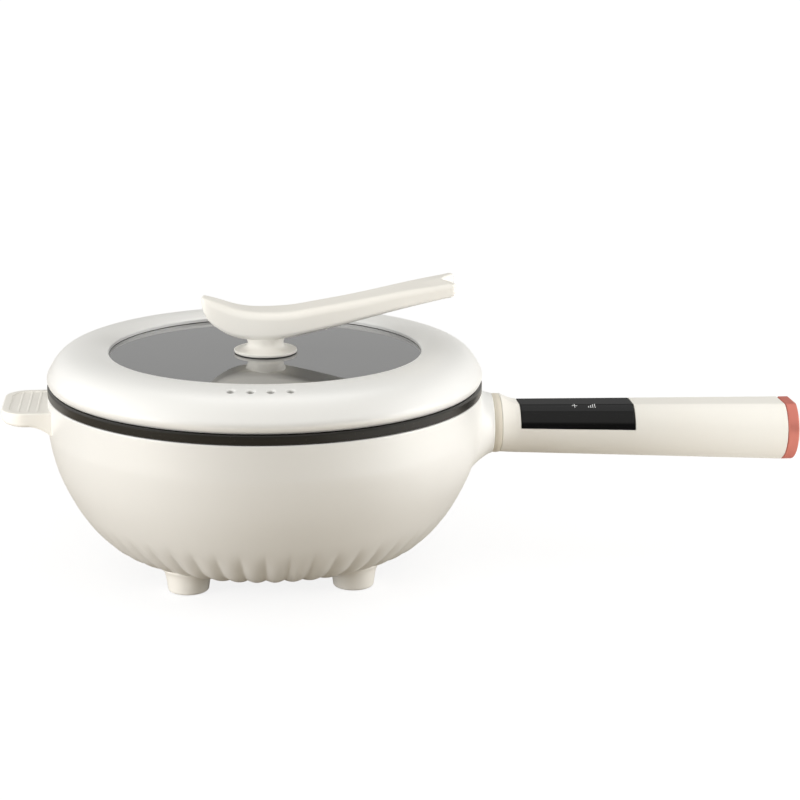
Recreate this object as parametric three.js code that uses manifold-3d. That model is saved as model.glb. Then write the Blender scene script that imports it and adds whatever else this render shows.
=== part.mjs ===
// An electric wok with a lift-off glass lid, a long handle that holds its controls, and a short ear
// handle. Millimetres, +Z up, Z is 0 on the table. The long handle points along +X.
import * as THREE from "three";
import { mergeVertices } from "three/addons/utils/BufferGeometryUtils.js";
import Module from "manifold-3d";

const wasm = await Module();
wasm.setup();

// Clearances that all pieces share.
const gap = 0.3; // between two pieces that rest on each other
const slip = 0.4; // round a screw in its hole
const overrun = 5; // how far a cutting shape runs past what it cuts
const weld = 0.001; // points nearer than this are one point

// Bowl: the outer shell.
const bowlRadius = 150;
const bowlDepth = 113.8;
const standHeight = 12.8; // from the table to the bowl's floor
const rimHeight = standHeight + bowlDepth; // the shell's top edge over the table
const shellWall = 3;
const fluteCount = 50;
const fluteDepth = 1.9;
// Radius and depth of the bowl's outline, from the rim to the flat underneath.
const bowlShares = [
  [1, 0], [1, 0.21], [0.984, 0.345], [0.955, 0.475], [0.91, 0.605], [0.855, 0.73], [0.79, 0.834],
  [0.73, 0.904], [0.655, 0.953], [0.56, 0.986], [0.4, 1],
];
const fluteColumns = 3; // columns of facets in one flute
const plainRows = 4; // rows of the outline over the flutes, with one column for each flute
const cavitySegments = 40;
const fluteTopShares = [0.66, 0.83]; // of the bowl's depth: where the flutes start, where they are full
const fluteEndShares = [0.42, 0.56]; // of the bowl's radius: where they end, where they are still full

// Inner pot.
const flangeHeight = 6.3; // the dark band under the lid
const flangePlate = 3;
const flangeWidth = 9;
const potOpening = bowlRadius - flangeWidth; // inner radius at the rim
const potWall = 3;
const potFloor = 4;
const heaterRoom = 21.8; // between the pot's floor and the bowl's
const potDepth = bowlDepth - heaterRoom - potFloor;
// Radius and depth of the pot's inside, from the rim to the flat floor.
const potShares = [
  [1, 0], [0.997, 0.18], [0.976, 0.42], [0.925, 0.63], [0.842, 0.8], [0.735, 0.92], [0.62, 0.98], [0.5, 1],
];
const potRows = 5;
const potSegments = 40;
const potBossRadius = 4.6;

// Heater plate, under the pot's flat floor.
const plateOver = 1.5; // how far it reaches past the flat floor
const plateRadius = potOpening * potShares.at(-1)[0] + plateOver;
const plateThick = 4;

// Feet, one screw each, just outside the heater plate.
const footCount = 4;
const footMargin = 3;
const footCircle = plateRadius + potBossRadius + footMargin;
const footRadius = 14;
const footTopRadius = 17;
const footRound = 1.5;
const footSink = 11.2; // how far its top reaches over the bowl's floor, before the bowl cuts it
const footTopHeight = standHeight + footSink;
const footProud = 0.6; // how far the pad stands out of the foot
const footSegments = 12;
const padRadius = 9;
const padThick = 1.7;
const footScrewLength = 22;

// Base cover, under the bowl, between the feet.
const coverMargin = 10.6;
const coverRadius = footCircle - footTopRadius - coverMargin;
const coverThick = 2;
const coverBossRadius = 3.8;
const coverBossSides = 12;
const coverSegments = 30;
const coverLedge = 9; // width of the shell's ledge that the cover screws to
const coverScrewCount = 3;
const coverSlotCount = 5;
const coverSlotWidth = 3;
const coverSlotLength = 34;
const coverSlotPitch = 8;

// Screws, by size.
const screwRadius = 1.9;
const screwHeadRadius = 4;
const screwHeadHeight = 2.4;
const smallScrewRadius = 1.2;
const smallHeadRadius = 2.4;
const smallHeadHeight = 1.4;
const smallScrewLength = 7;
const wallHeadRadius = 3.2; // of a screw head in the space beside the pot
const wallHeadHeight = 1.7;
const holeSegments = 8;
const screwSides = 6;

// Heater.
const tubeInset = 14; // from the plate's edge
const tubeCircle = plateRadius - tubeInset;
const tubeRadius = 3.4;
const tubeTurns = 20; // straight lengths that its round is made of
const tubeSteps = 32;
const tubeSides = 6;
const grooveRows = 5;
const tubeSink = 0.9; // how far the tube's axis lies under the plate's face
const grooveSlack = 0.8;
const tubeOpenShare = 0.111; // of a full turn, left open between the tube's ends
const tubeFallShare = 0.6; // of its end's run, where the end already points down
const tubeEndRun = 6; // how far each end reaches down
const pinRadius = 1.5;
const pinLength = 4;
const thermostatRadius = 8;
const thermostatHeight = 7;
const bracketLength = 40;
const bracketWidth = 10;
const bracketFoot = 7; // length of each end that lies on the plate
const bracketThick = 1;
const fuseRadius = 2.2;
const fuseLength = 16;

// Ear handle.
const earTop = 6.2; // its top, under the rim
const earHalf = 34;
const earLength = 30.6;
const earReach = bowlRadius + earLength; // from the pot's axis
const earCorner = 17;
const earStations = 4; // of its straight part
const earTipShares = [0.35, 0.62, 0.82, 0.95, 1]; // stations of its rounded tip
const earTipFlatShare = 0.02; // keeps the last section from closing to a line
const earEdgeRows = 6;
const earCrest = 1.2; // width of the small edge on top
const earCrestDrop = 0.9;
const earThick = 9.8;
const earGusset = 13; // how much thicker it is at the bowl
const earGussetRun = 21;
const earEdge = 3.6; // rounding of its lower edge
const earInset = 3.2; // how much its lower tip draws in
const gripRecess = 1;
const gripBorder = 4.5;
const ridgeCount = 3;
const ridgePitch = 6.3;
const ridgeWidth = 1.4;
const ridgeHeight = 0.7;
const earScrewSpread = 15;
const earScrewLength = 9;

// Neck and collar.
const neckRadius = 21.3;
const neckDrop = 28.2; // neck's axis under the rim
const neckLength = 8.5; // how far it stands out of the bowl
const neckEnd = bowlRadius + neckLength;
const neckWall = 4.5;
const neckBore = neckRadius - neckWall;
const neckFlareRun = 18.5;
const neckFlareRise = 14;
const neckFlareShares = [0, 0.35, 0.62, 0.84, 1, 1.2]; // stations of the flare, the last inside the bowl
const neckTopShare = 0.75; // how much less it flares at its top
const neckSides = 24;
const boreSides = 24;
const collarLength = 5.2;
const collarStep = 0.2; // how much narrower it is at the handle

// Long handle: a tapered round bar with a flat top.
const rootLength = 13.7;
const gripRoot = neckEnd + collarLength;
const gripStart = gripRoot + rootLength; // where the flat top is fully formed
const gripLength = 191.9;
const gripEnd = gripStart + gripLength;
const gripRadiusStart = 19.25;
const gripRadiusEnd = 22.7;
const rootFall = 2.1;
const gripFall = 5.8;
const gripDropStart = neckDrop + rootFall; // its axis under the rim
const gripDropEnd = gripDropStart + gripFall;
const gripRootRadius = neckRadius - collarStep;
const gripFlatShare = 0.887; // height of the flat over the axis, as a share of the radius
const gripWall = 3.2;
const gripSides = 28;
const gripShares = [0, 0.16, 0.42, 0.72, 1]; // stations of the root's flare
const rootPlug = 8; // solid length at the root

// Bracket between neck and handle.
const plugDepth = 10; // how far it reaches into the neck
const bracketStart = neckEnd - plugDepth;
const tongueLength = 50.3;
const tongueEnd = gripRoot + tongueLength;
const tongueRadius = 12.6;
const tongueWall = 3.6;
const tongueBore = tongueRadius - tongueWall;
const tongueSides = 20;
const handleScrewLength = 9;
const tongueScrewGrip = 3; // how far the second screw reaches past the tongue's wall
const handleBossRadius = 6;

// Control panel and boards.
const panelLength = 81;
const panelStart = gripStart;
const panelEnd = panelStart + panelLength;
const panelThick = 1.7;
const panelLift = 2.5; // its lower edge over the handle's axis
const boardThick = 1.6;
const boardMargin = 7.5; // from each end of the panel to the board under it
const controlBoardStart = panelStart + boardMargin;
const controlBoardLength = panelLength - 2 * boardMargin;
const controlBoardHalf = 9.5;
const controlBoardLift = 5.6; // board's underside over the handle's axis
const springRadius = 2.4;
const springPitch = 14;
const springCount = 3;
const springOffset = 5;
const powerBoardHalf = 13;
const powerBoardStart = panelEnd + boardMargin;
const inletRoom = 33.4; // from the power board to the handle's end
const powerBoardLength = gripEnd - inletRoom - powerBoardStart;
const powerBoardDrop = 1.5;
const relayLength = 19;
const relayHalf = 7.5;
const relayHeight = 11;
const railWidth = 3;
const railThick = 1.6;

// End cap and power inlet.
const capLength = 7;
const capBevel = 1.6;
const spigotLength = 5;
const socketHalfWidth = 14.2;
const socketHalfHeight = 10.4;
const socketDepth = 21;
const socketWall = 1.6;
const socketFloor = 3;
const socketChamfer = 4;
const bladeHalfWidth = 1;
const bladeHalfHeight = 2;
const bladeLength = 12.5;
const bladeSpread = 7;
const bladeRise = 2;

// Supply leads, from the power board to the heater.
const leadRadius = 1.2;
const leadSpread = 3.4;
const leadSteps = 26;
const leadSides = 4;
// Places of a lead beside and under the pot, as shares of the bowl's radius and depth.
const leadShares = [
  [0.966, 0.25], [0.951, 0.34], [0.913, 0.47], [0.855, 0.6], [0.77, 0.74], [0.68, 0.85], [0.57, 0.9],
];

// Lid.
const lidTurnShare = -0.0125; // of a full turn about the pot's axis, as the lid lies in the photograph
const lidRadius = bowlRadius;
const lidTuck = 2; // how much narrower it is at its foot
const lidBottomRadius = lidRadius - lidTuck;
const lidCrest = 32; // over the shell's rim
const lidWall = 2.6;
const lidFoot = 6.5; // width of the lid ring's bottom face
const lidSegments = 40;
// Radius and height of the lid ring's outline, from above its bottom edge to the glass opening.
const lidShares = [
  [1, 0.35], [0.986, 0.535], [0.965, 0.69], [0.935, 0.835],
  [0.902, 0.92], [0.862, 0.973], [0.815, 1], [0.76, 0.975],
];
const lidBand = 42.2; // width of the ring, from its rim to the glass opening
const glassOpening = lidRadius - lidBand;
const lipDrop = 3.1;
const openingTop = lidCrest - lipDrop; // the opening's edge over the shell's rim
const lipThick = 1.7;
const sealThick = 0.6;
const sealWeb = 2.9;
const lipSeat = openingTop - lipThick;
const glassTop = lipSeat - sealThick - 2 * gap;
const glassThick = 4;
const glassOverlap = 4.6; // how far the glass runs under the ring
const clampThick = 2;
const skirtSlack = 1.7; // between the skirt and the pot
const skirtRadius = potOpening - skirtSlack;
const skirtDrop = 3; // how far the skirt reaches under the shell's rim
const ventCount = 4;
const ventPitchShare = 0.0153; // of a full turn
const ventInset = 18.4; // from the lid's rim
const ventCircle = lidRadius - ventInset;
const ventRadius = 2.7;

// Lid knob: a flared stem with a wide lever on it.
const knobFlange = 21.8;
const knobFlangeThick = 2.2;
const stemRadius = 12.3;
const stemHeight = 13.6;
const stemTop = glassTop + stemHeight; // over the shell's rim
const stemSides = 20;
const flareRows = 5;
const flareShare = 0.8; // of the flange's overhang, how high the flare under the stem is
const knobWasherRadius = 13;
const knobWasherThick = 2;
const knobScrewRadius = 2.4;
const knobScrewHead = 5;
const knobScrewGrip = 10.4; // how far it reaches into the lever
const knobScrewTop = stemTop + knobScrewGrip;
const leverReach = 130.4;
const leverHalf = 17;
const leverRise = 52.9; // the lever's highest point over the glass
const leverTopRound = 2.6;
const leverNotch = 7.4;
const leverNotchHalf = 13;
const notchTipShare = 0.25; // of the notch, where its straight sides end and its tip rounds off
const notchRoundShare = 0.1;
const notchRows = 5;
const leverEdgeRows = 3;
const leverTopRoundShare = 0.33; // of the lever's thickness, the most that its upper edges round
const leverLowRoundShare = 0.45;
const leverSideRoundShare = 0.6; // of its half width
// Stations of the lever: distance from the stem, half width, top height and bottom height.
const leverShares = [
  [-0.334, 0.26, 0.72, 0.687], [-0.326, 0.4, 0.737, 0.62], [-0.3, 0.53, 0.724, 0.527],
  [-0.245, 0.64, 0.684, 0.412], [-0.17, 0.74, 0.621, 0.299], [-0.08, 0.84, 0.579, 0.215],
  [0.02, 0.92, 0.57, 0.204], [0.12, 0.97, 0.581, 0.254], [0.25, 1, 0.63, 0.332],
  [0.42, 1, 0.706, 0.451], [0.6, 1.02, 0.796, 0.594], [0.75, 1.13, 0.873, 0.697],
  [0.88, 1.27, 0.934, 0.766], [0.955, 1.34, 0.972, 0.803], [0.985, 1.26, 0.985, 0.821],
  [1, 1.04, 0.99, 0.846],
];

// Colours.
const cream = { color: 0xf3f0e6, roughness: 0.32, metalness: 0 };
const pearl = { color: 0xf8f7f2, roughness: 0.24, metalness: 0 };
const coating = { color: 0x2b2824, roughness: 0.38, metalness: 0.2 };
const blackGloss = { color: 0x141416, roughness: 0.1, metalness: 0 };
const coral = { color: 0xdf8f78, roughness: 0.35, metalness: 0.1 };
const steel = { color: 0xb9bcc0, roughness: 0.3, metalness: 1 };
const aluminium = { color: 0xc9ccd0, roughness: 0.42, metalness: 1 };
const rubber = { color: 0xd9d6cc, roughness: 0.8, metalness: 0 };
const sealGrey = { color: 0x6b6963, roughness: 0.7, metalness: 0 };
const boardGreen = { color: 0x2f6b45, roughness: 0.5, metalness: 0 };
const darkPlastic = { color: 0x26262a, roughness: 0.5, metalness: 0 };
const brass = { color: 0xc7a45a, roughness: 0.35, metalness: 1 };
const leadRed = { color: 0xa83a2c, roughness: 0.55, metalness: 0 };
const leadBlue = { color: 0x2f4f8f, roughness: 0.55, metalness: 0 };
const smokedGlass = { color: 0x6f7274, roughness: 0.05, metalness: 0, transparent: true, opacity: 0.45 };

// A three.js geometry as a solid that can be cut and joined.
function solidOf(geometry) {
  const bare = geometry.clone();
  bare.deleteAttribute("normal");
  bare.deleteAttribute("uv");
  const merged = mergeVertices(bare, weld);
  return new wasm.Manifold(
    new wasm.Mesh({
      numProp: 3,
      vertProperties: merged.attributes.position.array,
      triVerts: new Uint32Array(merged.index.array),
    }),
  );
}

// The geometry of a solid, with flat facets.
function geometryOf(solid) {
  const mesh = solid.getMesh();
  const geometry = new THREE.BufferGeometry();
  geometry.setAttribute("position", new THREE.BufferAttribute(mesh.vertProperties, 3));
  geometry.setIndex(new THREE.BufferAttribute(mesh.triVerts, 1));
  return geometry;
}

const cut = (geometry, ...tools) =>
  geometryOf(tools.reduce((solid, tool) => solid.subtract(solidOf(tool)), solidOf(geometry)));
const join = (geometry, ...others) =>
  geometryOf(others.reduce((solid, other) => solid.add(solidOf(other)), solidOf(geometry)));
const common = (geometry, other) => geometryOf(solidOf(geometry).intersect(solidOf(other)));

// A closed body through rings of points, closed by a fan at each end. A ring has as many points as the
// one before, or some whole number of times as many.
function loft(rings) {
  const middle = (ring) =>
    ring.reduce((sum, point) => sum.add(point), new THREE.Vector3()).divideScalar(ring.length);
  const points = [...rings.flat(), middle(rings[0]), middle(rings.at(-1))];
  const index = [];
  let start = 0;
  rings.slice(0, -1).forEach((ring, row) => {
    const below = start + ring.length;
    const split = rings[row + 1].length / ring.length;
    ring.forEach((_, i) => {
      const next = start + ((i + 1) % ring.length);
      for (let step = 0; step < split; step++) {
        const low = below + i * split + step;
        const lowNext = below + ((i * split + step + 1) % rings[row + 1].length);
        const near = step < split / 2 ? start + i : next;
        index.push(near, lowNext, low);
        if (step + 1 >= split / 2 && step < split / 2) index.push(start + i, next, lowNext);
      }
    });
    start = below;
  });
  const fan = (ring, from, centre, side) =>
    ring.forEach((_, i) => {
      const edge = [from + i, from + ((i + 1) % ring.length)];
      index.push(centre, ...(side ? edge : edge.reverse()));
    });
  fan(rings[0], 0, points.length - 2, false);
  fan(rings.at(-1), start, points.length - 1, true);
  const geometry = new THREE.BufferGeometry().setFromPoints(points);
  geometry.setIndex(index);
  return solidOf(geometry).volume() < 0 ? turnedOut(geometry) : geometry;
}

// The same geometry with every facet turned round.
function turnedOut(geometry) {
  const index = geometry.index.array;
  for (let i = 0; i < index.length; i += 3) [index[i], index[i + 1]] = [index[i + 1], index[i]];
  return geometry;
}

// A ring turned about Z from an outline of radius and height that closes on itself.
function turnedRing(outline, segments) {
  const points = [...outline, outline[0]].map(([r, z]) => new THREE.Vector2(r, z));
  const geometry = new THREE.LatheGeometry(points, segments).rotateX(Math.PI / 2);
  return solidOf(geometry).volume() < 0 ? turnedOut(geometry) : geometry;
}

// A disc or stepped pin turned about Z from an outline that starts and ends on the axis.
function turnedSolid(outline, segments) {
  const points = outline.map(([r, z]) => new THREE.Vector2(r, z));
  const geometry = new THREE.LatheGeometry(points, segments).rotateX(Math.PI / 2);
  return solidOf(geometry).volume() < 0 ? turnedOut(geometry) : geometry;
}

// A straight cylinder along Z, between two heights.
function post(radius, bottom, top, segments = 20) {
  const geometry = new THREE.CylinderGeometry(radius, radius, top - bottom, segments);
  return geometry.rotateX(Math.PI / 2).translate(0, 0, (top + bottom) / 2);
}

// A box given by its lowest and highest corner.
function block(low, high) {
  const size = high.map((value, axis) => value - low[axis]);
  const centre = high.map((value, axis) => (value + low[axis]) / 2);
  return new THREE.BoxGeometry(...size).translate(...centre);
}

// The same spline outline, moved outwards by a distance, which may be negative.
function grown(outline, distance) {
  return outline.map(([r, z], i) => {
    const before = outline[Math.max(i - 1, 0)];
    const after = outline[Math.min(i + 1, outline.length - 1)];
    const along = new THREE.Vector2(after[0] - before[0], after[1] - before[1]).normalize();
    return [r - along.y * distance, z + along.x * distance];
  });
}

const splineOutline = (pairs, rows) =>
  new THREE.SplineCurve(pairs.map(([r, z]) => new THREE.Vector2(r, z)))
    .getSpacedPoints(rows)
    .map((point) => [point.x, point.y]);

const polar = (radius, angle, z) =>
  new THREE.Vector3(radius * Math.cos(angle), radius * Math.sin(angle), z);
const eased = (value, low, high) => THREE.MathUtils.smoothstep(value, low, high);

// Screw with its tip up: head from the given height downwards.
function screwUp(radius, headRadius, headHeight, seat, length) {
  return turnedSolid(
    [[0, seat + length], [radius, seat + length], [radius, seat], [headRadius, seat],
      [headRadius, seat - headHeight], [0, seat - headHeight]],
    screwSides,
  );
}

// Bowl outline in millimetres, and the fluted body that the whole bowl fills.
const bowlOutline = bowlShares.map(([r, d]) => [r * bowlRadius, rimHeight - d * bowlDepth]);
const bowlBottom = rimHeight - bowlDepth;
const innerFloor = bowlBottom + shellWall;

// Depth of a flute at one point of the outline and at an angle: sharp valleys between round lobes.
function fluteAt([r, z], angle) {
  const fade =
    eased((rimHeight - z) / bowlDepth, ...fluteTopShares) * eased(r / bowlRadius, ...fluteEndShares);
  const lobe = Math.abs(Math.sin((fluteCount * (angle + Math.PI / 2)) / 2));
  return fluteDepth * fade * (1 - lobe);
}

function bowlBody(growth) {
  const outline = grown(bowlOutline, growth);
  const rings = outline.map(([r, z], row) => {
    const columns = fluteCount * (row < plainRows ? 1 : fluteColumns);
    return Array.from({ length: columns }, (_, i) => {
      const angle = (i / columns) * 2 * Math.PI - Math.PI / 2;
      const depth = fluteAt(bowlOutline[row], angle);
      const [inR, inZ] = depth ? grown(outline, -depth)[row] : [r, z];
      return polar(inR, angle, inZ);
    });
  });
  return loft(rings);
}

// Inside of the shell, straight beside the rim, then with half as many points as its outside.
const cavityOutline = grown(bowlOutline, -shellWall).filter((_, row) => row < 2 || row % 2 === 0);
function bowlCavity() {
  const [topRadius] = cavityOutline[0];
  return turnedSolid(
    [[0, rimHeight + overrun], [topRadius, rimHeight + overrun], ...cavityOutline.slice(1), [0, innerFloor]],
    cavitySegments,
  );
}

// Height of the shell's inside at a distance from the axis.
function cavityHeightAt(radius) {
  const row = cavityOutline.findIndex(([r]) => r < radius);
  const [highR, highZ] = cavityOutline[row - 1];
  const [lowR, lowZ] = cavityOutline[row];
  return THREE.MathUtils.mapLinear(radius, lowR, highR, lowZ, highZ);
}

// A circle round the handle's line at one station along X, cut off by a flat top.
function sectionRing(x, drop, radius, flat, sides) {
  return Array.from({ length: sides }, (_, i) => {
    const angle = (i / sides) * 2 * Math.PI;
    const up = Math.min(Math.cos(angle) * radius, flat);
    const side = Math.sin(angle) * radius;
    return new THREE.Vector3(x, side, rimHeight - drop + up);
  });
}

// The neck's outside: a round tube that flares into the bowl, less at its top than below.
function neckBody() {
  const rings = neckFlareShares.map((share) => {
    const run = Math.min(share, 1);
    const rise = neckFlareRise * (1 - Math.sqrt(1 - run * run));
    const x = neckEnd - share * neckFlareRun;
    return sectionRing(x, neckDrop, neckRadius, neckRadius, neckSides).map((point) => {
      const up = (point.z - rimHeight + neckDrop) / neckRadius;
      const much = rise * (up > 0 ? 1 - neckTopShare * up : 1);
      const scale = 1 + much / neckRadius;
      const z = (point.z - rimHeight + neckDrop) * scale + rimHeight - neckDrop;
      return new THREE.Vector3(point.x, point.y * scale, z);
    });
  });
  return loft(rings);
}

// Posts along X, such as a bore or a round tongue, on the neck's axis.
const alongX = (geometry) => geometry.rotateY(Math.PI / 2);
function rodX(radius, start, end, z, y = 0, segments = 20) {
  return alongX(post(radius, start, end, segments)).translate(0, y, z);
}
const neckAxis = rimHeight - neckDrop;

// Places round the pot that carry the feet, half way between the handles.
const footAngles = Array.from({ length: footCount }, (_, i) => ((i + 0.5) * 2 * Math.PI) / footCount);
const coverScrewCircle = coverRadius - coverLedge / 2;
const coverScrewAngles = Array.from(
  { length: coverScrewCount },
  (_, i) => (i * 2 * Math.PI) / coverScrewCount + Math.PI / 2,
);
const movedTo = (geometry, place) => geometry.clone().translate(place.x, place.y, place.z);
const handleScrewXs = [(neckEnd + bracketStart) / 2, (gripStart + tongueEnd) / 2];

// A hole along Z, round a place.
function holeAt(place, radius, bottom, top) {
  return movedTo(post(radius, bottom, top, holeSegments), place);
}

function outerShell() {
  const bossTop = bowlBottom + screwHeadHeight + smallScrewLength;
  const bosses = coverScrewAngles.map((angle) =>
    movedTo(post(coverBossRadius, bowlBottom + shellWall / 2, bossTop, coverBossSides),
      polar(coverScrewCircle, angle, 0)),
  );
  const body = cut(
    join(bowlBody(0), neckBody()),
    bowlCavity(),
    rodX(neckBore, 0, neckEnd + overrun, neckAxis, 0, boreSides),
  );
  const ready = join(body, ...bosses);
  const tools = [
    post(coverRadius + gap, bowlBottom - overrun, bowlBottom + coverThick / 2, coverSegments),
    post(coverRadius - coverLedge, bowlBottom - overrun, innerFloor + overrun, coverSegments),
    ...footAngles.map((angle) =>
      holeAt(polar(footCircle, angle, 0), screwRadius + slip, 0, innerFloor + footTopHeight),
    ),
    ...coverScrewAngles.map((angle) =>
      holeAt(polar(coverScrewCircle, angle, 0), smallScrewRadius + gap,
        bowlBottom - overrun, bossTop - shellWall / 2),
    ),
    ...[-earScrewSpread, earScrewSpread].map((y) =>
      rodX(screwRadius + slip, -bowlRadius - overrun, -potOpening, earScrewHeight, y, holeSegments),
    ),
    holeAt(neckScrewPlace, screwRadius + slip, neckAxis - neckRadius - overrun, neckAxis),
    holeAt(neckScrewPlace, screwHeadRadius + slip,
      neckAxis - neckRadius - overrun, neckAxis - neckBore - shellWall / 2),
  ];
  return cut(ready, ...tools);
}
const earScrewHeight = rimHeight - earTop - earThick / 2;
const neckScrewPlace = new THREE.Vector3(handleScrewXs[0], 0, 0);

function baseCover() {
  const low = bowlBottom - coverThick / 2;
  const plate = post(coverRadius, low, low + coverThick - gap, coverSegments);
  const slots = Array.from({ length: coverSlotCount }, (_, i) => {
    const y = (i - (coverSlotCount - 1) / 2) * coverSlotPitch;
    return block(
      [-coverSlotLength / 2, y - coverSlotWidth / 2, low - overrun],
      [coverSlotLength / 2, y + coverSlotWidth / 2, low + overrun],
    );
  });
  const holes = coverScrewAngles.map((angle) =>
    holeAt(polar(coverScrewCircle, angle, 0), smallScrewRadius + slip, low - overrun, low + overrun),
  );
  return cut(plate, ...slots, ...holes);
}

// Pot outline: inner wall from the rim down, and the outer wall back up.
const potFlangeLow = rimHeight + gap;
const potFlangeTop = potFlangeLow + flangeHeight;
const potFloorLow = rimHeight - potDepth - potFloor;
const potBossLow = cavityHeightAt(footCircle + potBossRadius) + gap;

function innerPot() {
  const inner = splineOutline(
    potShares.map(([r, d]) => [r * potOpening, rimHeight - d * potDepth]),
    potRows,
  );
  const outer = grown(inner, potWall);
  outer[0] = [potOpening + potWall, potFlangeTop - flangePlate];
  outer[outer.length - 1] = [inner.at(-1)[0], potFloorLow];
  outer[outer.length - 2] = [outer[outer.length - 2][0], potFloorLow + potWall / 2];
  const lip = bowlRadius - shellWall;
  const pot = turnedSolid(
    [[0, rimHeight - potDepth], ...inner.reverse(), [potOpening, potFlangeTop],
      [bowlRadius, potFlangeTop], [bowlRadius, potFlangeLow], [lip, potFlangeLow],
      [lip, potFlangeTop - flangePlate], ...outer, [0, potFloorLow]],
    potSegments,
  );
  const bosses = footAngles.map((angle) =>
    movedTo(post(potBossRadius, potBossLow, potFloorLow + potFloor / 2, footSegments),
      polar(footCircle, angle, 0)),
  );
  const holes = footAngles.map((angle) =>
    holeAt(polar(footCircle, angle, 0), screwRadius + gap, 0, footSeat + footScrewLength + gap),
  );
  return cut(join(pot, ...bosses), ...holes);
}

// Foot: a round tapered peg with a pocket for its pad and its screw's head, cut to the bowl above it.
const padPocket = padThick + gap;
const footSeat = padPocket + screwHeadHeight + 2 * gap;
function footOutline() {
  const hole = screwRadius + slip;
  const head = screwHeadRadius + slip;
  return [
    [hole, footTopHeight], [hole, footSeat], [head, footSeat], [head, padPocket],
    [padRadius + gap, padPocket], [padRadius + gap, footProud], [footRadius - footRound, footProud],
    [footRadius, footProud + footRound], [footTopRadius, footTopHeight],
  ];
}
const bowlAbove = bowlBody(gap);
const feet = footAngles.map((angle) =>
  cut(movedTo(turnedRing(footOutline(), footSegments), polar(footCircle, angle, 0)), bowlAbove),
);

// Heater parts lie under the pot's floor.
const plateTop = potFloorLow - gap;
const plateLow = plateTop - plateThick;
const tubeHeight = plateLow - tubeSink;
function heaterPlate() {
  const groove = tubeRadius + grooveSlack;
  const start = Math.asin(tubeSink / groove);
  const arc = Array.from({ length: grooveRows }, (_, i) => {
    const angle = start + ((Math.PI - 2 * start) * i) / (grooveRows - 1);
    return [tubeCircle + groove * Math.cos(angle), tubeHeight + groove * Math.sin(angle)];
  });
  const plate = turnedSolid(
    [[0, plateLow], ...arc.slice().reverse(), [plateRadius, plateLow], [plateRadius, plateTop],
      [0, plateTop]],
    coverSegments,
  );
  const holes = bracketScrewPlaces.map((place) =>
    holeAt(place, smallScrewRadius + gap, plateLow - overrun, plateLow + plateThick / 2),
  );
  return cut(plate, ...holes);
}
const bracketScrewPlaces = [-1, 1].map(
  (side) => new THREE.Vector3((side * (bracketLength - bracketFoot)) / 2, 0, 0),
);

function heaterTube() {
  const arc = Array.from({ length: tubeTurns + 1 }, (_, i) =>
    polar(tubeCircle, tubeOpenHalf + ((2 * Math.PI - 2 * tubeOpenHalf) * i) / tubeTurns, tubeHeight),
  );
  const fall = (side, share) => polar(tubeCircle, side * tubeEndAngle, tubeHeight - share * tubeEndRun);
  const path = new THREE.CatmullRomCurve3(
    [fall(1, 1), fall(1, tubeFallShare), ...arc, fall(-1, tubeFallShare), fall(-1, 1)], false, "centripetal",
  );
  return roundAlong(path, tubeRadius, tubeSteps, tubeSides);
}
// The tube's ends turn down a little past its arc.
const tubeOpenHalf = tubeOpenShare * Math.PI;
const tubeEndAngle = tubeOpenHalf - tubeRadius / tubeCircle;
const tubeEndLow = tubeHeight - tubeEndRun;

// A round tube along a path.
function roundAlong(path, radius, steps, sides) {
  const circle = new THREE.Shape(
    Array.from({ length: sides }, (_, i) => {
      const angle = (i / sides) * 2 * Math.PI;
      return new THREE.Vector2(radius * Math.cos(angle), radius * Math.sin(angle));
    }),
  );
  const geometry = new THREE.ExtrudeGeometry(circle, { steps, extrudePath: path });
  return solidOf(geometry).volume() < 0 ? geometryOf(solidOf(geometry)) : geometry;
}

function heaterPin(side) {
  const top = tubeEndLow - gap;
  return holeAt(polar(tubeCircle, side * tubeEndAngle, 0), pinRadius, top - pinLength, top);
}

function thermostatBracket() {
  const low = plateLow - gap - thermostatHeight - gap - bracketThick;
  const outline = new THREE.Shape();
  const half = bracketLength / 2;
  const leg = half - bracketFoot;
  const top = plateLow - gap;
  const points = [
    [-half, top], [-half, top - bracketThick], [-leg - bracketThick, top - bracketThick],
    [-leg - bracketThick, low], [leg + bracketThick, low], [leg + bracketThick, top - bracketThick],
    [half, top - bracketThick], [half, top], [leg, top], [leg, low + bracketThick],
    [-leg, low + bracketThick], [-leg, top],
  ];
  points.forEach(([x, z], i) => (i ? outline.lineTo(x, z) : outline.moveTo(x, z)));
  const strip = new THREE.ExtrudeGeometry(outline, { depth: bracketWidth, bevelEnabled: false })
    .rotateX(Math.PI / 2)
    .translate(0, bracketWidth / 2, 0);
  const holes = bracketScrewPlaces.map((place) =>
    holeAt(place, smallScrewRadius + gap, top - overrun, top + overrun),
  );
  return cut(strip, ...holes);
}

// One section of the ear at a distance from the pot's axis: flat on top, rounded below.
function earRing(x, half, top, bottom) {
  const points = [];
  for (const side of [1, -1]) {
    const corner = Array.from({ length: earEdgeRows + 1 }, (_, i) => {
      const angle = (i / earEdgeRows) * (Math.PI / 2);
      return [half - earEdge + earEdge * Math.cos(angle), bottom + earEdge - earEdge * Math.sin(angle)];
    });
    const crest = [[half - earCrest, top], [half, top - earCrestDrop]];
    const run = [...crest, ...corner].map(([y, z]) => new THREE.Vector3(-x, side * y, z));
    points.push(...(side > 0 ? run : run.reverse()));
  }
  return points;
}

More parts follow.
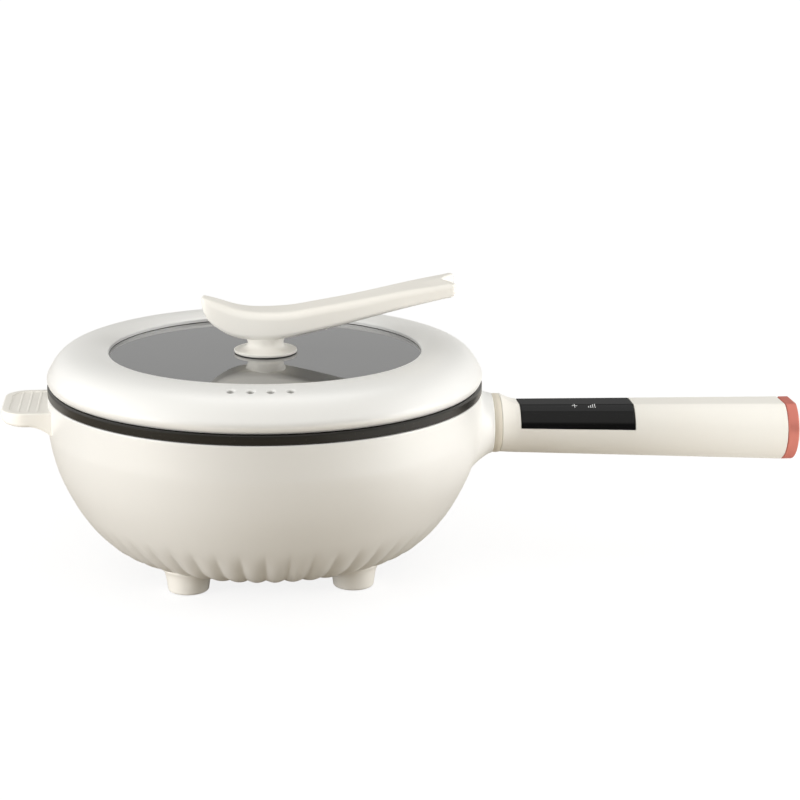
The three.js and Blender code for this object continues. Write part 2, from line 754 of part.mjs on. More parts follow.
function earHandle() {
  const top = rimHeight - earTop;
  const rootX = potOpening;
  const flat = earReach - earCorner;
  const xs = [
    ...Array.from({ length: earStations + 1 }, (_, i) => rootX + (i / earStations) * (flat - rootX)),
    ...earTipShares.map((share) => flat + share * earCorner),
  ];
  const rings = xs.map((x) => {
    const past = Math.max(x - flat, 0) / earCorner;
    const half = earHalf - earCorner * (1 - Math.sqrt(Math.max(1 - past * past, earTipFlatShare)));
    const deep = Math.max(1 - (x - rootX) / earGussetRun, 0);
    const bottom = top - earThick - earGusset * deep * deep + earInset * past * past;
    return earRing(x, half, top, bottom);
  });
  const recess = block(
    [-earReach + gripBorder + ridgeWidth, -earHalf + gripBorder, top - gripRecess],
    [-potOpening, earHalf - gripBorder, top + overrun],
  );
  const ridges = Array.from({ length: ridgeCount }, (_, i) => {
    const x = -earReach + gripBorder + ridgeWidth + (i + 1) * ridgePitch;
    return block(
      [x - ridgeWidth / 2, -earHalf, top - gripRecess - overrun],
      [x + ridgeWidth / 2, earHalf, top - gripRecess + ridgeHeight],
    );
  });
  const holes = [-earScrewSpread, earScrewSpread].map((y) =>
    rodX(screwRadius + gap, -bowlRadius - earScrewLength, -potOpening, earScrewHeight, y, holeSegments),
  );
  return cut(loft(rings), cut(recess, ...ridges), bowlAbove, ...holes);
}

function earScrew(y) {
  const wall = (bowlRadius - shellWall) * Math.cos(Math.PI / cavitySegments);
  const inner = Math.sqrt(wall ** 2 - (Math.abs(y) + wallHeadRadius) ** 2) - gap;
  const screw = screwUp(screwRadius, wallHeadRadius, wallHeadHeight, 0, earScrewLength);
  return screw.rotateY(-Math.PI / 2).translate(-inner, y, earScrewHeight);
}

// Radius, drop and flat of the long handle at a station along X.
function gripAt(x) {
  const along = (x - gripStart) / (gripEnd - gripStart);
  const root = THREE.MathUtils.clamp((gripStart - x) / (gripStart - gripRoot), 0, 1);
  const radius = THREE.MathUtils.lerp(gripRadiusStart, gripRadiusEnd, along);
  const flare = (gripRootRadius - gripRadiusStart) * root * root;
  const drop = THREE.MathUtils.lerp(gripDropStart, gripDropEnd, along) - rootFall * root * root;
  const flatShare = THREE.MathUtils.lerp(gripFlatShare, 1, root);
  return { radius: radius + flare, drop, flat: (radius + flare) * flatShare };
}

// The handle's body between two stations, drawn in by an inset all round.
function gripBody(inset, start, end) {
  const inRoot = gripShares.map((share) => gripRoot + share * (gripStart - gripRoot));
  const xs = [start, ...inRoot.filter((x) => x > start && x < end), end];
  return loft(
    xs.map((x) => {
      const { radius, drop, flat } = gripAt(x);
      return sectionRing(x, drop, radius - inset, flat - inset, gripSides);
    }),
  );
}
const gripAxis = (x) => rimHeight - gripAt(x).drop;

// The space that the control panel fills: from its lower edge upwards.
function panelZone(growth) {
  const low = (x) => gripAxis(x) + panelLift - growth;
  const ring = (x) => [
    new THREE.Vector3(x, -gripRadiusEnd * 2, low(x)),
    new THREE.Vector3(x, gripRadiusEnd * 2, low(x)),
    new THREE.Vector3(x, gripRadiusEnd * 2, rimHeight + overrun),
    new THREE.Vector3(x, -gripRadiusEnd * 2, rimHeight + overrun),
  ];
  return loft([ring(panelStart - growth), ring(panelEnd + growth)]);
}

function controlPanel() {
  const zone = common(gripBody(0, gripRoot, gripEnd), panelZone(0));
  return cut(zone, gripBody(panelThick, gripRoot - overrun, gripEnd + overrun));
}

const controlBoardLow = gripAxis(controlBoardStart + controlBoardLength) + controlBoardLift;
const powerBoardLow = gripAxis(powerBoardStart + powerBoardLength) - powerBoardDrop;

// A pair of rails inside the handle that carry a board's long edges.
function rails(start, length, half, low) {
  const inside = gripBody(gripWall / 2, gripRoot, gripEnd);
  return [-1, 1].map((side) => {
    const edge = side * (half - railWidth);
    const far = side * gripRadiusEnd * 2;
    const rail = block(
      [start, Math.min(edge, far), low - gap - railThick],
      [start + length, Math.max(edge, far), low - gap],
    );
    return common(rail, inside);
  });
}

function handleShell() {
  const bore = gripBody(gripWall, gripRoot + rootPlug, gripEnd + overrun);
  const recess = cut(panelZone(gap), gripBody(panelThick + gap, gripRoot - overrun, gripEnd + overrun));
  const x = handleScrewXs[1];
  const place = new THREE.Vector3(x, 0, 0);
  const bossTop = gripAxis(x) - tongueRadius - gap;
  const boss = common(
    movedTo(post(handleBossRadius, neckAxis - 2 * neckRadius, bossTop, coverBossSides), place),
    gripBody(gripWall / 2, gripRoot, gripEnd),
  );
  const low = gripAxis(x) - gripAt(x).radius;
  const shell = join(
    cut(gripBody(0, gripRoot, gripEnd), bore),
    boss,
    ...rails(controlBoardStart, controlBoardLength, controlBoardHalf, controlBoardLow),
    ...rails(powerBoardStart, powerBoardLength, powerBoardHalf, powerBoardLow),
  );
  return cut(
    shell,
    recess,
    rodX(tongueRadius + gap, gripRoot - overrun, gripRoot + rootPlug + overrun, tongueAxis, 0, tongueSides),
    holeAt(place, screwRadius + slip, low - overrun, gripAxis(x)),
    holeAt(place, screwHeadRadius + slip, low - overrun, low + shellWall),
  );
}
const tongueAxis = neckAxis - rootFall;

function handleCollar() {
  const low = neckEnd + gap;
  const high = gripRoot - gap;
  const ring = turnedRing(
    [[neckBore, low], [neckRadius - gap, low], [neckRadius + gap / 2, (low + high) / 2],
      [gripRootRadius - gap / 2, high], [neckBore, high]],
    neckSides,
  );
  return alongX(ring).translate(0, 0, neckAxis);
}

function handleBracket() {
  const plug = rodX(neckBore - gap, bracketStart, gripRoot - gap, neckAxis, 0, boreSides);
  const tongue = rodX(tongueRadius, gripRoot - 2 * gap, tongueEnd, tongueAxis, 0, tongueSides);
  const above = block(
    [gripRoot + rootPlug, -gripRadiusEnd, tongueAxis],
    [tongueEnd + overrun, gripRadiusEnd, tongueAxis + gripRadiusEnd],
  );
  const bore = rodX(tongueBore, bracketStart - overrun, tongueEnd + overrun, tongueAxis, 0, tongueSides);
  const holes = handleScrewXs.map((x) =>
    holeAt(new THREE.Vector3(x, 0, 0), screwRadius + gap, tongueAxis - 2 * tongueRadius, tongueAxis),
  );
  return cut(join(plug, tongue), above, bore, ...holes);
}

function handleScrew(i) {
  const x = handleScrewXs[i];
  const seat = i ? gripAxis(x) - gripAt(x).radius + shellWall : neckAxis - neckBore - shellWall / 2;
  const length = i ? tongueWall + tongueScrewGrip : handleScrewLength;
  const screw = screwUp(screwRadius, screwHeadRadius, screwHeadHeight, seat - gap, length);
  return screw.translate(x, 0, 0);
}

function endCap() {
  const face = gripEnd + capLength;
  const { radius, drop, flat } = gripAt(gripEnd);
  const ring = (x, inset) => sectionRing(x, drop, radius - inset, flat - inset, gripSides);
  const spigot = gripWall + gap;
  const cap = join(
    loft([ring(gripEnd + gap, 0), ring(face - capBevel, 0), ring(face, capBevel)]),
    loft([ring(gripEnd - spigotLength, spigot), ring(gripEnd + 2 * gap, spigot)]),
  );
  const mouth = socketBlock(gap, gripEnd - spigotLength - overrun, face + overrun);
  return cut(cap, mouth);
}
const socketAxis = rimHeight - gripDropEnd;

// A block with two cut corners, the outline of the power inlet.
function socketBlock(growth, start, end) {
  const w = socketHalfWidth + growth;
  const h = socketHalfHeight + growth;
  const c = socketChamfer;
  const outline = [[-w, -h], [w, -h], [w, h - c], [w - c, h], [c - w, h], [-w, h - c]];
  const ring = (x) => outline.map(([y, z]) => new THREE.Vector3(x, y, socketAxis + z));
  return loft([ring(start), ring(end)]);
}

function inletSocket() {
  const face = gripEnd + capLength - capBevel / 2;
  const back = face - socketDepth;
  const mouth = socketBlock(-socketWall, back + socketFloor, face + overrun);
  const holes = bladePlaces.map(([y, z]) =>
    block(
      [back - overrun, y - bladeHalfWidth - gap, socketAxis + z - bladeHalfHeight - gap],
      [back + socketFloor + overrun, y + bladeHalfWidth + gap, socketAxis + z + bladeHalfHeight + gap],
    ),
  );
  return cut(socketBlock(0, back, face), mouth, ...holes);
}
const bladePlaces = [[-bladeSpread, -bladeRise], [bladeSpread, -bladeRise], [0, bladeRise]];

function inletPin([y, z]) {
  const back = gripEnd + capLength - capBevel / 2 - socketDepth;
  return block(
    [back - socketFloor, y - bladeHalfWidth, socketAxis + z - bladeHalfHeight],
    [back + socketFloor + bladeLength, y + bladeHalfWidth, socketAxis + z + bladeHalfHeight],
  );
}

// A lead runs from the power board through the handle, down beside the pot and in to a heater pin.
function supplyLead(side) {
  const y = side * leadSpread;
  const pin = polar(tubeCircle, side * tubeEndAngle, tubeEndLow - pinLength - leadRadius - 2 * gap);
  const beside = leadShares.map(([r, d]) =>
    new THREE.Vector3(r * bowlRadius, y, rimHeight - d * bowlDepth),
  );
  const path = new THREE.CatmullRomCurve3([
    new THREE.Vector3(powerBoardStart + leadRadius, y, powerBoardLow - gap - 2 * leadRadius),
    new THREE.Vector3(tongueEnd, y, tongueAxis),
    new THREE.Vector3(gripRoot, y, tongueAxis),
    new THREE.Vector3(neckEnd - neckFlareRun / 2, y, neckAxis),
    ...beside,
    new THREE.Vector3(pin.x + tubeEndRun, pin.y, pin.z),
    pin,
  ], false, "centripetal");
  return roundAlong(path, leadRadius, leadSteps, leadSides);
}

// Lid ring: the outline turned about Z, hollow underneath, with a flat foot and a lip for the glass.
const lidLow = potFlangeTop + gap;
function lidOutline() {
  const crown = lidShares.map(([r, z]) => [r * lidRadius, rimHeight + z * lidCrest]);
  return [[lidBottomRadius, lidLow], ...crown, [glassOpening, rimHeight + openingTop]];
}

function lidRing() {
  const outer = lidOutline();
  const seat = rimHeight + lipSeat;
  const inner = grown(outer, lidWall)
    .filter((_, row) => row % 2)
    .filter(([r, z]) => r > glassOpening + glassOverlap + sealWeb + 3 * gap && z > lidLow + lidWall)
    .reverse();
  const lip = glassOpening + glassOverlap + sealWeb + 4 * gap;
  const foot = lidBottomRadius - lidFoot;
  const ring = turnedRing(
    [...outer, [glassOpening, seat], [lip, seat], [lip, inner[0][1]], ...inner,
      [inner.at(-1)[0], lidLow + lidWall], [foot, lidLow + lidWall], [foot, lidLow]],
    lidSegments,
  );
  return cut(ring, ...ventPosts());
}

function ventPosts() {
  return Array.from({ length: ventCount }, (_, i) => {
    const turn = (i - (ventCount - 1) / 2) * ventPitchShare * 2 * Math.PI - Math.PI / 2;
    return holeAt(polar(ventCircle, turn, 0), ventRadius, rimHeight, rimHeight + lidCrest + overrun);
  });
}

const glassHigh = rimHeight + glassTop;
const glassLow = glassHigh - glassThick;
const glassRadius = glassOpening + glassOverlap;

function lidGlass() {
  const hole = knobScrewRadius + slip;
  return turnedRing(
    [[hole, glassLow], [glassRadius, glassLow], [glassRadius, glassHigh], [hole, glassHigh]],
    lidSegments,
  );
}

function glassSeal() {
  const lap = glassOpening + (glassOverlap - sealWeb) / 2;
  const inner = glassRadius + gap;
  const outer = inner + sealWeb;
  return turnedRing(
    [[lap, glassHigh + gap + sealThick], [lap, glassHigh + gap], [inner, glassHigh + gap],
      [inner, glassLow - gap], [lap, glassLow - gap], [lap, glassLow - gap - sealThick],
      [outer, glassLow - gap - sealThick], [outer, glassHigh + gap + sealThick]],
    lidSegments,
  );
}

// Clamp ring: holds the seal from below and reaches into the pot, which centres the lid.
function lidClampRing() {
  const top = glassLow - 2 * gap - sealThick;
  const tongue = lidBottomRadius - lidFoot - gap;
  const tongueLow = lidLow + gap;
  const shoulder = glassRadius + sealWeb + 2 * gap;
  const low = rimHeight - skirtDrop;
  const ring = turnedRing(
    [[glassOpening - clampThick, top], [shoulder, top], [tongue - clampThick, tongueLow + clampThick],
      [tongue, tongueLow + clampThick], [tongue, tongueLow], [skirtRadius, tongueLow], [skirtRadius, low],
      [skirtRadius - clampThick, low], [skirtRadius - clampThick, tongueLow],
      [shoulder - clampThick / 2, top - clampThick], [glassOpening - clampThick, top - clampThick]],
    lidSegments,
  );
  return cut(ring, ...ventPosts());
}

function knobStem() {
  const low = glassHigh + gap;
  const hole = knobScrewRadius + slip;
  const high = rimHeight + stemTop;
  const flareLow = low + knobFlangeThick;
  const flareHigh = flareLow + (knobFlange - stemRadius) * flareShare;
  const flare = Array.from({ length: flareRows }, (_, i) => {
    const angle = (i / (flareRows - 1)) * (Math.PI / 2);
    return [
      knobFlange - (knobFlange - stemRadius) * Math.sin(angle),
      flareHigh - (flareHigh - flareLow) * Math.cos(angle),
    ];
  });
  return turnedRing(
    [[hole, low], [knobFlange - knobFlangeThick / 2, low], [knobFlange, low + knobFlangeThick / 2],
      ...flare, [stemRadius, high], [hole, high]],
    stemSides,
  );
}

// One section of the lever: rounded edges, the lower ones rounder than the upper ones.
function leverRing(x, half, top, bottom) {
  const upper = Math.min(leverTopRound, (top - bottom) * leverTopRoundShare);
  const lower = Math.min((top - bottom) * leverLowRoundShare, half * leverSideRoundShare);
  const arc = (cy, cz, radius, from) =>
    Array.from({ length: leverEdgeRows }, (_, i) => {
      const angle = from - (i / (leverEdgeRows - 1)) * (Math.PI / 2);
      return new THREE.Vector3(x, cy + radius * Math.cos(angle), cz + radius * Math.sin(angle));
    });
  return [
    ...arc(half - upper, top - upper, upper, Math.PI / 2),
    ...arc(half - lower, bottom + lower, lower, 0),
    ...arc(lower - half, bottom + lower, lower, -Math.PI / 2),
    ...arc(upper - half, top - upper, upper, -Math.PI),
  ];
}

function lidLever() {
  const body = loft(
    leverShares.map(([x, half, top, bottom]) =>
      leverRing(x * leverReach, half * leverHalf,
        glassHigh + top * leverRise, glassHigh + bottom * leverRise),
    ),
  );
  const apex = leverReach - leverNotch;
  const notch = new THREE.Shape();
  notch.moveTo(leverReach + leverNotch, -leverNotchHalf * 2);
  const tipX = apex + leverNotch * notchTipShare;
  const tipY = leverNotchHalf * notchTipShare;
  notch.lineTo(tipX, -tipY);
  notch.quadraticCurveTo(apex - leverNotch * notchRoundShare, 0, tipX, tipY);
  notch.lineTo(leverReach + leverNotch, leverNotchHalf * 2);
  const cutter = new THREE.ExtrudeGeometry(notch, {
    depth: leverRise, bevelEnabled: false, curveSegments: notchRows,
  });
  return cut(
    body,
    cutter.translate(0, 0, glassHigh + leverRise / 2),
    post(stemRadius + gap, rimHeight, rimHeight + stemTop + gap, stemSides),
    post(knobScrewRadius + gap, rimHeight, rimHeight + knobScrewTop + 2 * gap, holeSegments),
  );
}

// Assembly.
const product = new THREE.Group();
const base = new THREE.Group();
const lid = new THREE.Group();
lid.rotation.z = lidTurnShare * 2 * Math.PI;
product.add(base, lid);

function place(group, name, geometry, look) {
  const faceted = geometry.index ? geometry.toNonIndexed() : geometry;
  faceted.computeVertexNormals();
  const mesh = new THREE.Mesh(faceted, new THREE.MeshStandardMaterial(look));
  mesh.name = name;
  group.add(mesh);
}

place(base, "outer_shell", outerShell(), pearl);
place(base, "base_cover", baseCover(), cream);
place(base, "inner_pot", innerPot(), coating);
coverScrewAngles.forEach((angle, i) => {
  const seat = bowlBottom - coverThick / 2 - gap;
  const screw = screwUp(smallScrewRadius, smallHeadRadius, smallHeadHeight, seat, smallScrewLength);
  place(base, `cover_screw_${i + 1}`, movedTo(screw, polar(coverScrewCircle, angle, 0)), steel);
});
footAngles.forEach((angle, i) => {
  const spot = polar(footCircle, angle, 0);
  const screw = screwUp(screwRadius, screwHeadRadius, screwHeadHeight, footSeat - gap, footScrewLength);
  place(base, `foot_${i + 1}`, feet[i], cream);
  place(base, `foot_pad_${i + 1}`, movedTo(post(padRadius, 0, padThick, footSegments), spot), rubber);
  place(base, `foot_screw_${i + 1}`, movedTo(screw, spot), steel);
});

place(base, "heater_plate", heaterPlate(), aluminium);
place(base, "heater_tube", heaterTube(), steel);
[1, -1].forEach((side, i) => place(base, `heater_pin_${i + 1}`, heaterPin(side), steel));
const thermostatTop = plateLow - gap;
const disc = post(thermostatRadius, thermostatTop - thermostatHeight, thermostatTop, coverBossSides);
place(base, "thermostat", disc, brass);
place(base, "thermostat_bracket", thermostatBracket(), steel);
bracketScrewPlaces.forEach((spot, i) => {
  const seat = plateLow - 2 * gap - bracketThick;
  const length = bracketThick + plateThick / 2;
  const screw = screwUp(smallScrewRadius, smallHeadRadius, smallHeadHeight, seat, length);
  place(base, `bracket_screw_${i + 1}`, movedTo(screw, spot), steel);
});
const fuse = rodX(
  fuseRadius, -fuseLength / 2, fuseLength / 2, plateLow - gap - fuseRadius, tubeCircle / 2, holeSegments,
);
place(base, "thermal_fuse", fuse, darkPlastic);

place(base, "ear_handle", earHandle(), cream);
[-1, 1].forEach((side, i) => place(base, `ear_screw_${i + 1}`, earScrew(side * earScrewSpread), steel));

place(base, "handle_collar", handleCollar(), cream);
place(base, "handle_bracket", handleBracket(), darkPlastic);
handleScrewXs.forEach((_, i) => place(base, `handle_screw_${i + 1}`, handleScrew(i), steel));
place(base, "handle_shell", handleShell(), cream);
place(base, "control_panel", controlPanel(), blackGloss);
const controlBoard = block(
  [controlBoardStart + gap, -controlBoardHalf, controlBoardLow],
  [controlBoardStart + controlBoardLength - gap, controlBoardHalf, controlBoardLow + boardThick],
);
place(base, "control_board", controlBoard, boardGreen);
for (let i = 0; i < springCount; i++) {
  const x = (panelStart + panelEnd) / 2 + (i - (springCount - 1) / 2) * springPitch;
  const top = gripAxis(x) + gripAt(x).flat - gripWall - gap;
  const spring = post(springRadius, controlBoardLow + boardThick + gap, top, holeSegments);
  place(base, `touch_spring_${i + 1}`, spring.translate(x, -springOffset, 0), steel);
}
const powerBoard = block(
  [powerBoardStart + gap, -powerBoardHalf, powerBoardLow],
  [powerBoardStart + powerBoardLength - gap, powerBoardHalf, powerBoardLow + boardThick],
);
place(base, "power_board", powerBoard, boardGreen);
const relayMiddle = powerBoardStart + powerBoardLength / 2;
const relay = block(
  [relayMiddle - relayLength / 2, -relayHalf, powerBoardLow + boardThick + gap],
  [relayMiddle + relayLength / 2, relayHalf, powerBoardLow + boardThick + gap + relayHeight],
);
place(base, "relay", relay, darkPlastic);
place(base, "end_cap", endCap(), coral);
place(base, "inlet_socket", inletSocket(), darkPlastic);
bladePlaces.forEach((spot, i) => place(base, `inlet_pin_${i + 1}`, inletPin(spot), brass));
place(base, "lead_live", supplyLead(1), leadRed);
place(base, "lead_neutral", supplyLead(-1), leadBlue);

place(lid, "lid_ring", lidRing(), pearl);
place(lid, "lid_glass", lidGlass(), smokedGlass);
place(lid, "glass_seal", glassSeal(), sealGrey);
place(lid, "lid_clamp_ring", lidClampRing(), cream);
place(lid, "knob_stem", knobStem(), cream);
place(lid, "lid_lever", lidLever(), cream);
const washerTop = glassLow - gap;
const washer = turnedRing(
  [[knobScrewRadius + slip, washerTop - knobWasherThick], [knobWasherRadius, washerTop - knobWasherThick],
    [knobWasherRadius, washerTop], [knobScrewRadius + slip, washerTop]],
  stemSides,
);
place(lid, "knob_washer", washer, rubber);
const knobSeat = washerTop - knobWasherThick - gap;
const knobScrew = screwUp(
  knobScrewRadius, knobScrewHead, screwHeadHeight, knobSeat, rimHeight + knobScrewTop - knobSeat,
);
place(lid, "knob_screw", knobScrew, steel);

// The part's origin is under the middle of its bounding box.
product.position.x = (earReach - gripEnd - capLength) / 2;

export default product;
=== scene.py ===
import math

import bmesh
import bpy
import numpy as np
from mathutils import Matrix, Vector


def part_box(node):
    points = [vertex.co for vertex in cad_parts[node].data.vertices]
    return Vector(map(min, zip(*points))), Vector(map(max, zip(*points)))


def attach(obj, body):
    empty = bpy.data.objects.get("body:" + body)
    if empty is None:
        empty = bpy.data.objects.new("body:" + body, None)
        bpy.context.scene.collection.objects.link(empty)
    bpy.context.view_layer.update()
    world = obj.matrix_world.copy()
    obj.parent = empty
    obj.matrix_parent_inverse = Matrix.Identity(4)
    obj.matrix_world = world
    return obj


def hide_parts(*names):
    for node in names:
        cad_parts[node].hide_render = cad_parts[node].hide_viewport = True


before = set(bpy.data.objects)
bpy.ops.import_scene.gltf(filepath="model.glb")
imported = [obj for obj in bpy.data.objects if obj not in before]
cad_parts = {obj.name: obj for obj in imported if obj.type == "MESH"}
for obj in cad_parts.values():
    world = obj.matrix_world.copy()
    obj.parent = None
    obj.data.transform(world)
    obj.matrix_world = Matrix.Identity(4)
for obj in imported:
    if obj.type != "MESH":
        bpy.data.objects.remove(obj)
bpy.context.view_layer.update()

# Camera, at the photograph's viewing angle: a long lens a little above the lid and to the left of the
# pot's middle, turned a little to the right.
camera_place = Vector((-0.15595, -1.3937, 0.4754))
camera_right = math.radians(6.22)
camera_down = math.radians(14.372)
camera_lean = math.radians(0.3945)
lens_data = bpy.data.cameras.new("camera")
lens_data.lens = 92.82
lens_data.sensor_width = 36
lens_data.clip_end = 100
camera = bpy.data.objects.new("camera", lens_data)
camera.matrix_world = (
    Matrix.Translation(camera_place)
    @ Matrix.Rotation(-camera_right, 4, "Z")
    @ Matrix.Rotation(math.pi / 2 - camera_down, 4, "X")
    @ Matrix.Rotation(camera_lean, 4, "Z")
)
bpy.context.scene.collection.objects.link(camera)
bpy.context.scene.camera = camera


# Outer shell: the bowl with its fluted underside and the neck for the long handle, one moulding.
# Pearl white plastic with a satin gloss. The pot hangs in it, and the feet are screwed up through it.
shell_low, shell_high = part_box("outer_shell")
pot_low, pot_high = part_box("inner_pot")
axis_x = (pot_low.x + pot_high.x) / 2
rim = shell_high.z
bowl_floor = shell_low.z
bowl_radius = -shell_low.y
bowl_depth = rim - bowl_floor
shell_wall = 0.003
rim_round = 0.0009
# Radius and depth of the bowl's outline, from the rim to the flat underneath.
bowl_shares = [
    (1, 0), (1, 0.21), (0.984, 0.345), (0.955, 0.475), (0.91, 0.605), (0.855, 0.73), (0.79, 0.834),
    (0.73, 0.904), (0.655, 0.953), (0.56, 0.986), (0.4, 1),
]
bowl_rows = 110
flute_count = 50
flute_columns = 14
flute_depth = 0.0017
flute_shift = 6
flute_top_shares = (0.66, 0.83)
flute_end_shares = (0.42, 0.56)


def smooth_curve(points, count):
    """Even steps along a natural cubic curve through a few points."""
    points = np.array(points, float)
    knots = np.concatenate([[0], np.cumsum(np.linalg.norm(np.diff(points, axis=0), axis=1))])
    step = np.diff(knots)
    system = np.eye(len(points))
    right = np.zeros_like(points)
    for i in range(1, len(points) - 1):
        system[i, i - 1 : i + 2] = step[i - 1], 2 * (step[i - 1] + step[i]), step[i]
        slopes = (points[i + 1] - points[i]) / step[i] - (points[i] - points[i - 1]) / step[i - 1]
        right[i] = 6 * slopes
    bend = np.linalg.solve(system, right)
    at = np.linspace(0, knots[-1], count)
    i = np.clip(np.searchsorted(knots, at) - 1, 0, len(points) - 2)
    a = ((knots[i + 1] - at) / step[i])[:, None]
    b = 1 - a
    sag = ((a**3 - a) * bend[i] + (b**3 - b) * bend[i + 1]) * step[i][:, None] ** 2 / 6
    return a * points[i] + b * points[i + 1] + sag


def eased(value, low, high):
    """Smooth step from 0 at low to 1 at high."""
    share = np.clip((value - low) / (high - low), 0, 1)
    return share * share * (3 - 2 * share)


def outward_of(line):
    """Unit vectors that point out of an outline of (radius, height)."""
    step = np.gradient(line, axis=0)
    step /= np.linalg.norm(step, axis=1)[:, None]
    return np.stack([-step[:, 1], step[:, 0]], 1)


def rounded(corners, steps=5):
    """Outline through corners of (across, along, rounding)."""
    points = []
    for i, (across, along, size) in enumerate(corners):
        here = np.array((across, along))
        to_last = np.array(corners[i - 1][:2]) - here
        to_next = np.array(corners[(i + 1) % len(corners)][:2]) - here
        start = here + to_last / np.linalg.norm(to_last) * size
        end = here + to_next / np.linalg.norm(to_next) * size
        shares = np.linspace(0, 1, steps + 1) if size else [0]
        for t in shares:
            points.append((1 - t) ** 2 * start + 2 * t * (1 - t) * here + t * t * end)
    return np.array(points)


def circle(count):
    """Even angles all the way round."""
    return np.arange(count) / count * 2 * math.pi


def turned(outline, columns, centre, lying=False):
    """Rows of points of an outline of (radius, height) turned about Z, or about X where it is lying."""
    outline = np.array(outline, float)
    angle = circle(columns) - math.pi / 2
    side = outline[:, :1] * np.cos(angle)
    front = outline[:, :1] * np.sin(angle)
    height = np.repeat(outline[:, 1:], columns, 1)
    parts = (height, side, front) if lying else (side, front, height)
    return np.stack(parts, -1) + np.array(centre)


def skin(rows, looped=False, capped=False):
    """Vertices and faces through rows of points. Each row closes on itself. Looped joins the last row to
    the first. Capped closes each end by joining a row's points across."""
    rows = np.array(rows)
    count, around = rows.shape[:2]
    faces = []
    for row in range(count if looped else count - 1):
        here = row * around
        after = (row + 1) % count * around
        for i in range(around):
            j = (i + 1) % around
            faces.append((here + i, here + j, after + j, after + i))
    if capped:
        for here in (0, (count - 1) * around):
            for i in range(around // 2 - 1):
                faces.append((here + i, here + i + 1, here + around - 2 - i, here + around - 1 - i))
    return rows.reshape(-1, 3), faces


def piece(name, *parts, sharp=math.radians(40)):
    """A new piece from one or more closed skins, smooth but for its edges."""
    points, faces = [], []
    for part_points, part_faces in parts:
        start = len(points)
        points.extend(map(tuple, part_points))
        faces.extend(tuple(start + i for i in face) for face in part_faces)
    mesh = bpy.data.meshes.new(name)
    mesh.from_pydata(points, [], faces)
    made = bpy.data.objects.new(name, mesh)
    bpy.context.scene.collection.objects.link(made)
    tidied(made, sharp)
    return made


def tidied(made, sharp):
    """Merges doubled points, turns all faces outwards, and shades the piece smooth but for its edges."""
    work = bmesh.new()
    work.from_mesh(made.data)
    bmesh.ops.remove_doubles(work, verts=work.verts, dist=1e-6)
    bmesh.ops.dissolve_degenerate(work, dist=1e-7, edges=work.edges)
    bmesh.ops.recalc_face_normals(work, faces=work.faces)
    work.to_mesh(made.data)
    work.free()
    made.data.shade_smooth()
    made.data.set_sharp_from_angle(angle=sharp)


def cut(made, cutter, sharp=math.radians(40)):
    """Cuts one piece with another, which is used up."""
    step = made.modifiers.new("cut", "BOOLEAN")
    step.operation = "DIFFERENCE"
    step.solver = "EXACT"
    step.object = cutter
    ready = bpy.data.meshes.new_from_object(made.evaluated_get(bpy.context.evaluated_depsgraph_get()))
    made.modifiers.clear()
    made.data = ready
    bpy.data.objects.remove(cutter)
    made.data.shade_smooth()
    made.data.set_sharp_from_angle(angle=sharp)


def parts_of(made):
    """Points and faces of a piece, which is used up."""
    points = [tuple(v.co) for v in made.data.vertices]
    faces = [tuple(face.vertices) for face in made.data.polygons]
    bpy.data.objects.remove(made)
    return points, faces


def hue(red, green, blue):
    """A colour as a screen shows it, 0 to 255, as the linear colour that a shader takes."""
    shares = [value / 255 for value in (red, green, blue)]
    return (*(s / 12.92 if s <= 0.04045 else ((s + 0.055) / 1.055) ** 2.4 for s in shares), 1)


class Wire:
    """An output of a shader node. Sums with it add Math nodes."""

    def __init__(self, finish, socket):
        self.finish = finish
        self.socket = socket

    def maths(self, operation, first, second):
        return self.finish.node("ShaderNodeMath", {"operation": operation}, {0: first, 1: second})

    def __add__(self, other):
        return self.maths("ADD", self, other)

    def __radd__(self, other):
        return self.maths("ADD", other, self)

    def __sub__(self, other):
        return self.maths("SUBTRACT", self, other)

    def __rsub__(self, other):
        return self.maths("SUBTRACT", other, self)

    def __mul__(self, other):
        return self.maths("MULTIPLY", self, other)

    def __rmul__(self, other):
        return self.maths("MULTIPLY", other, self)


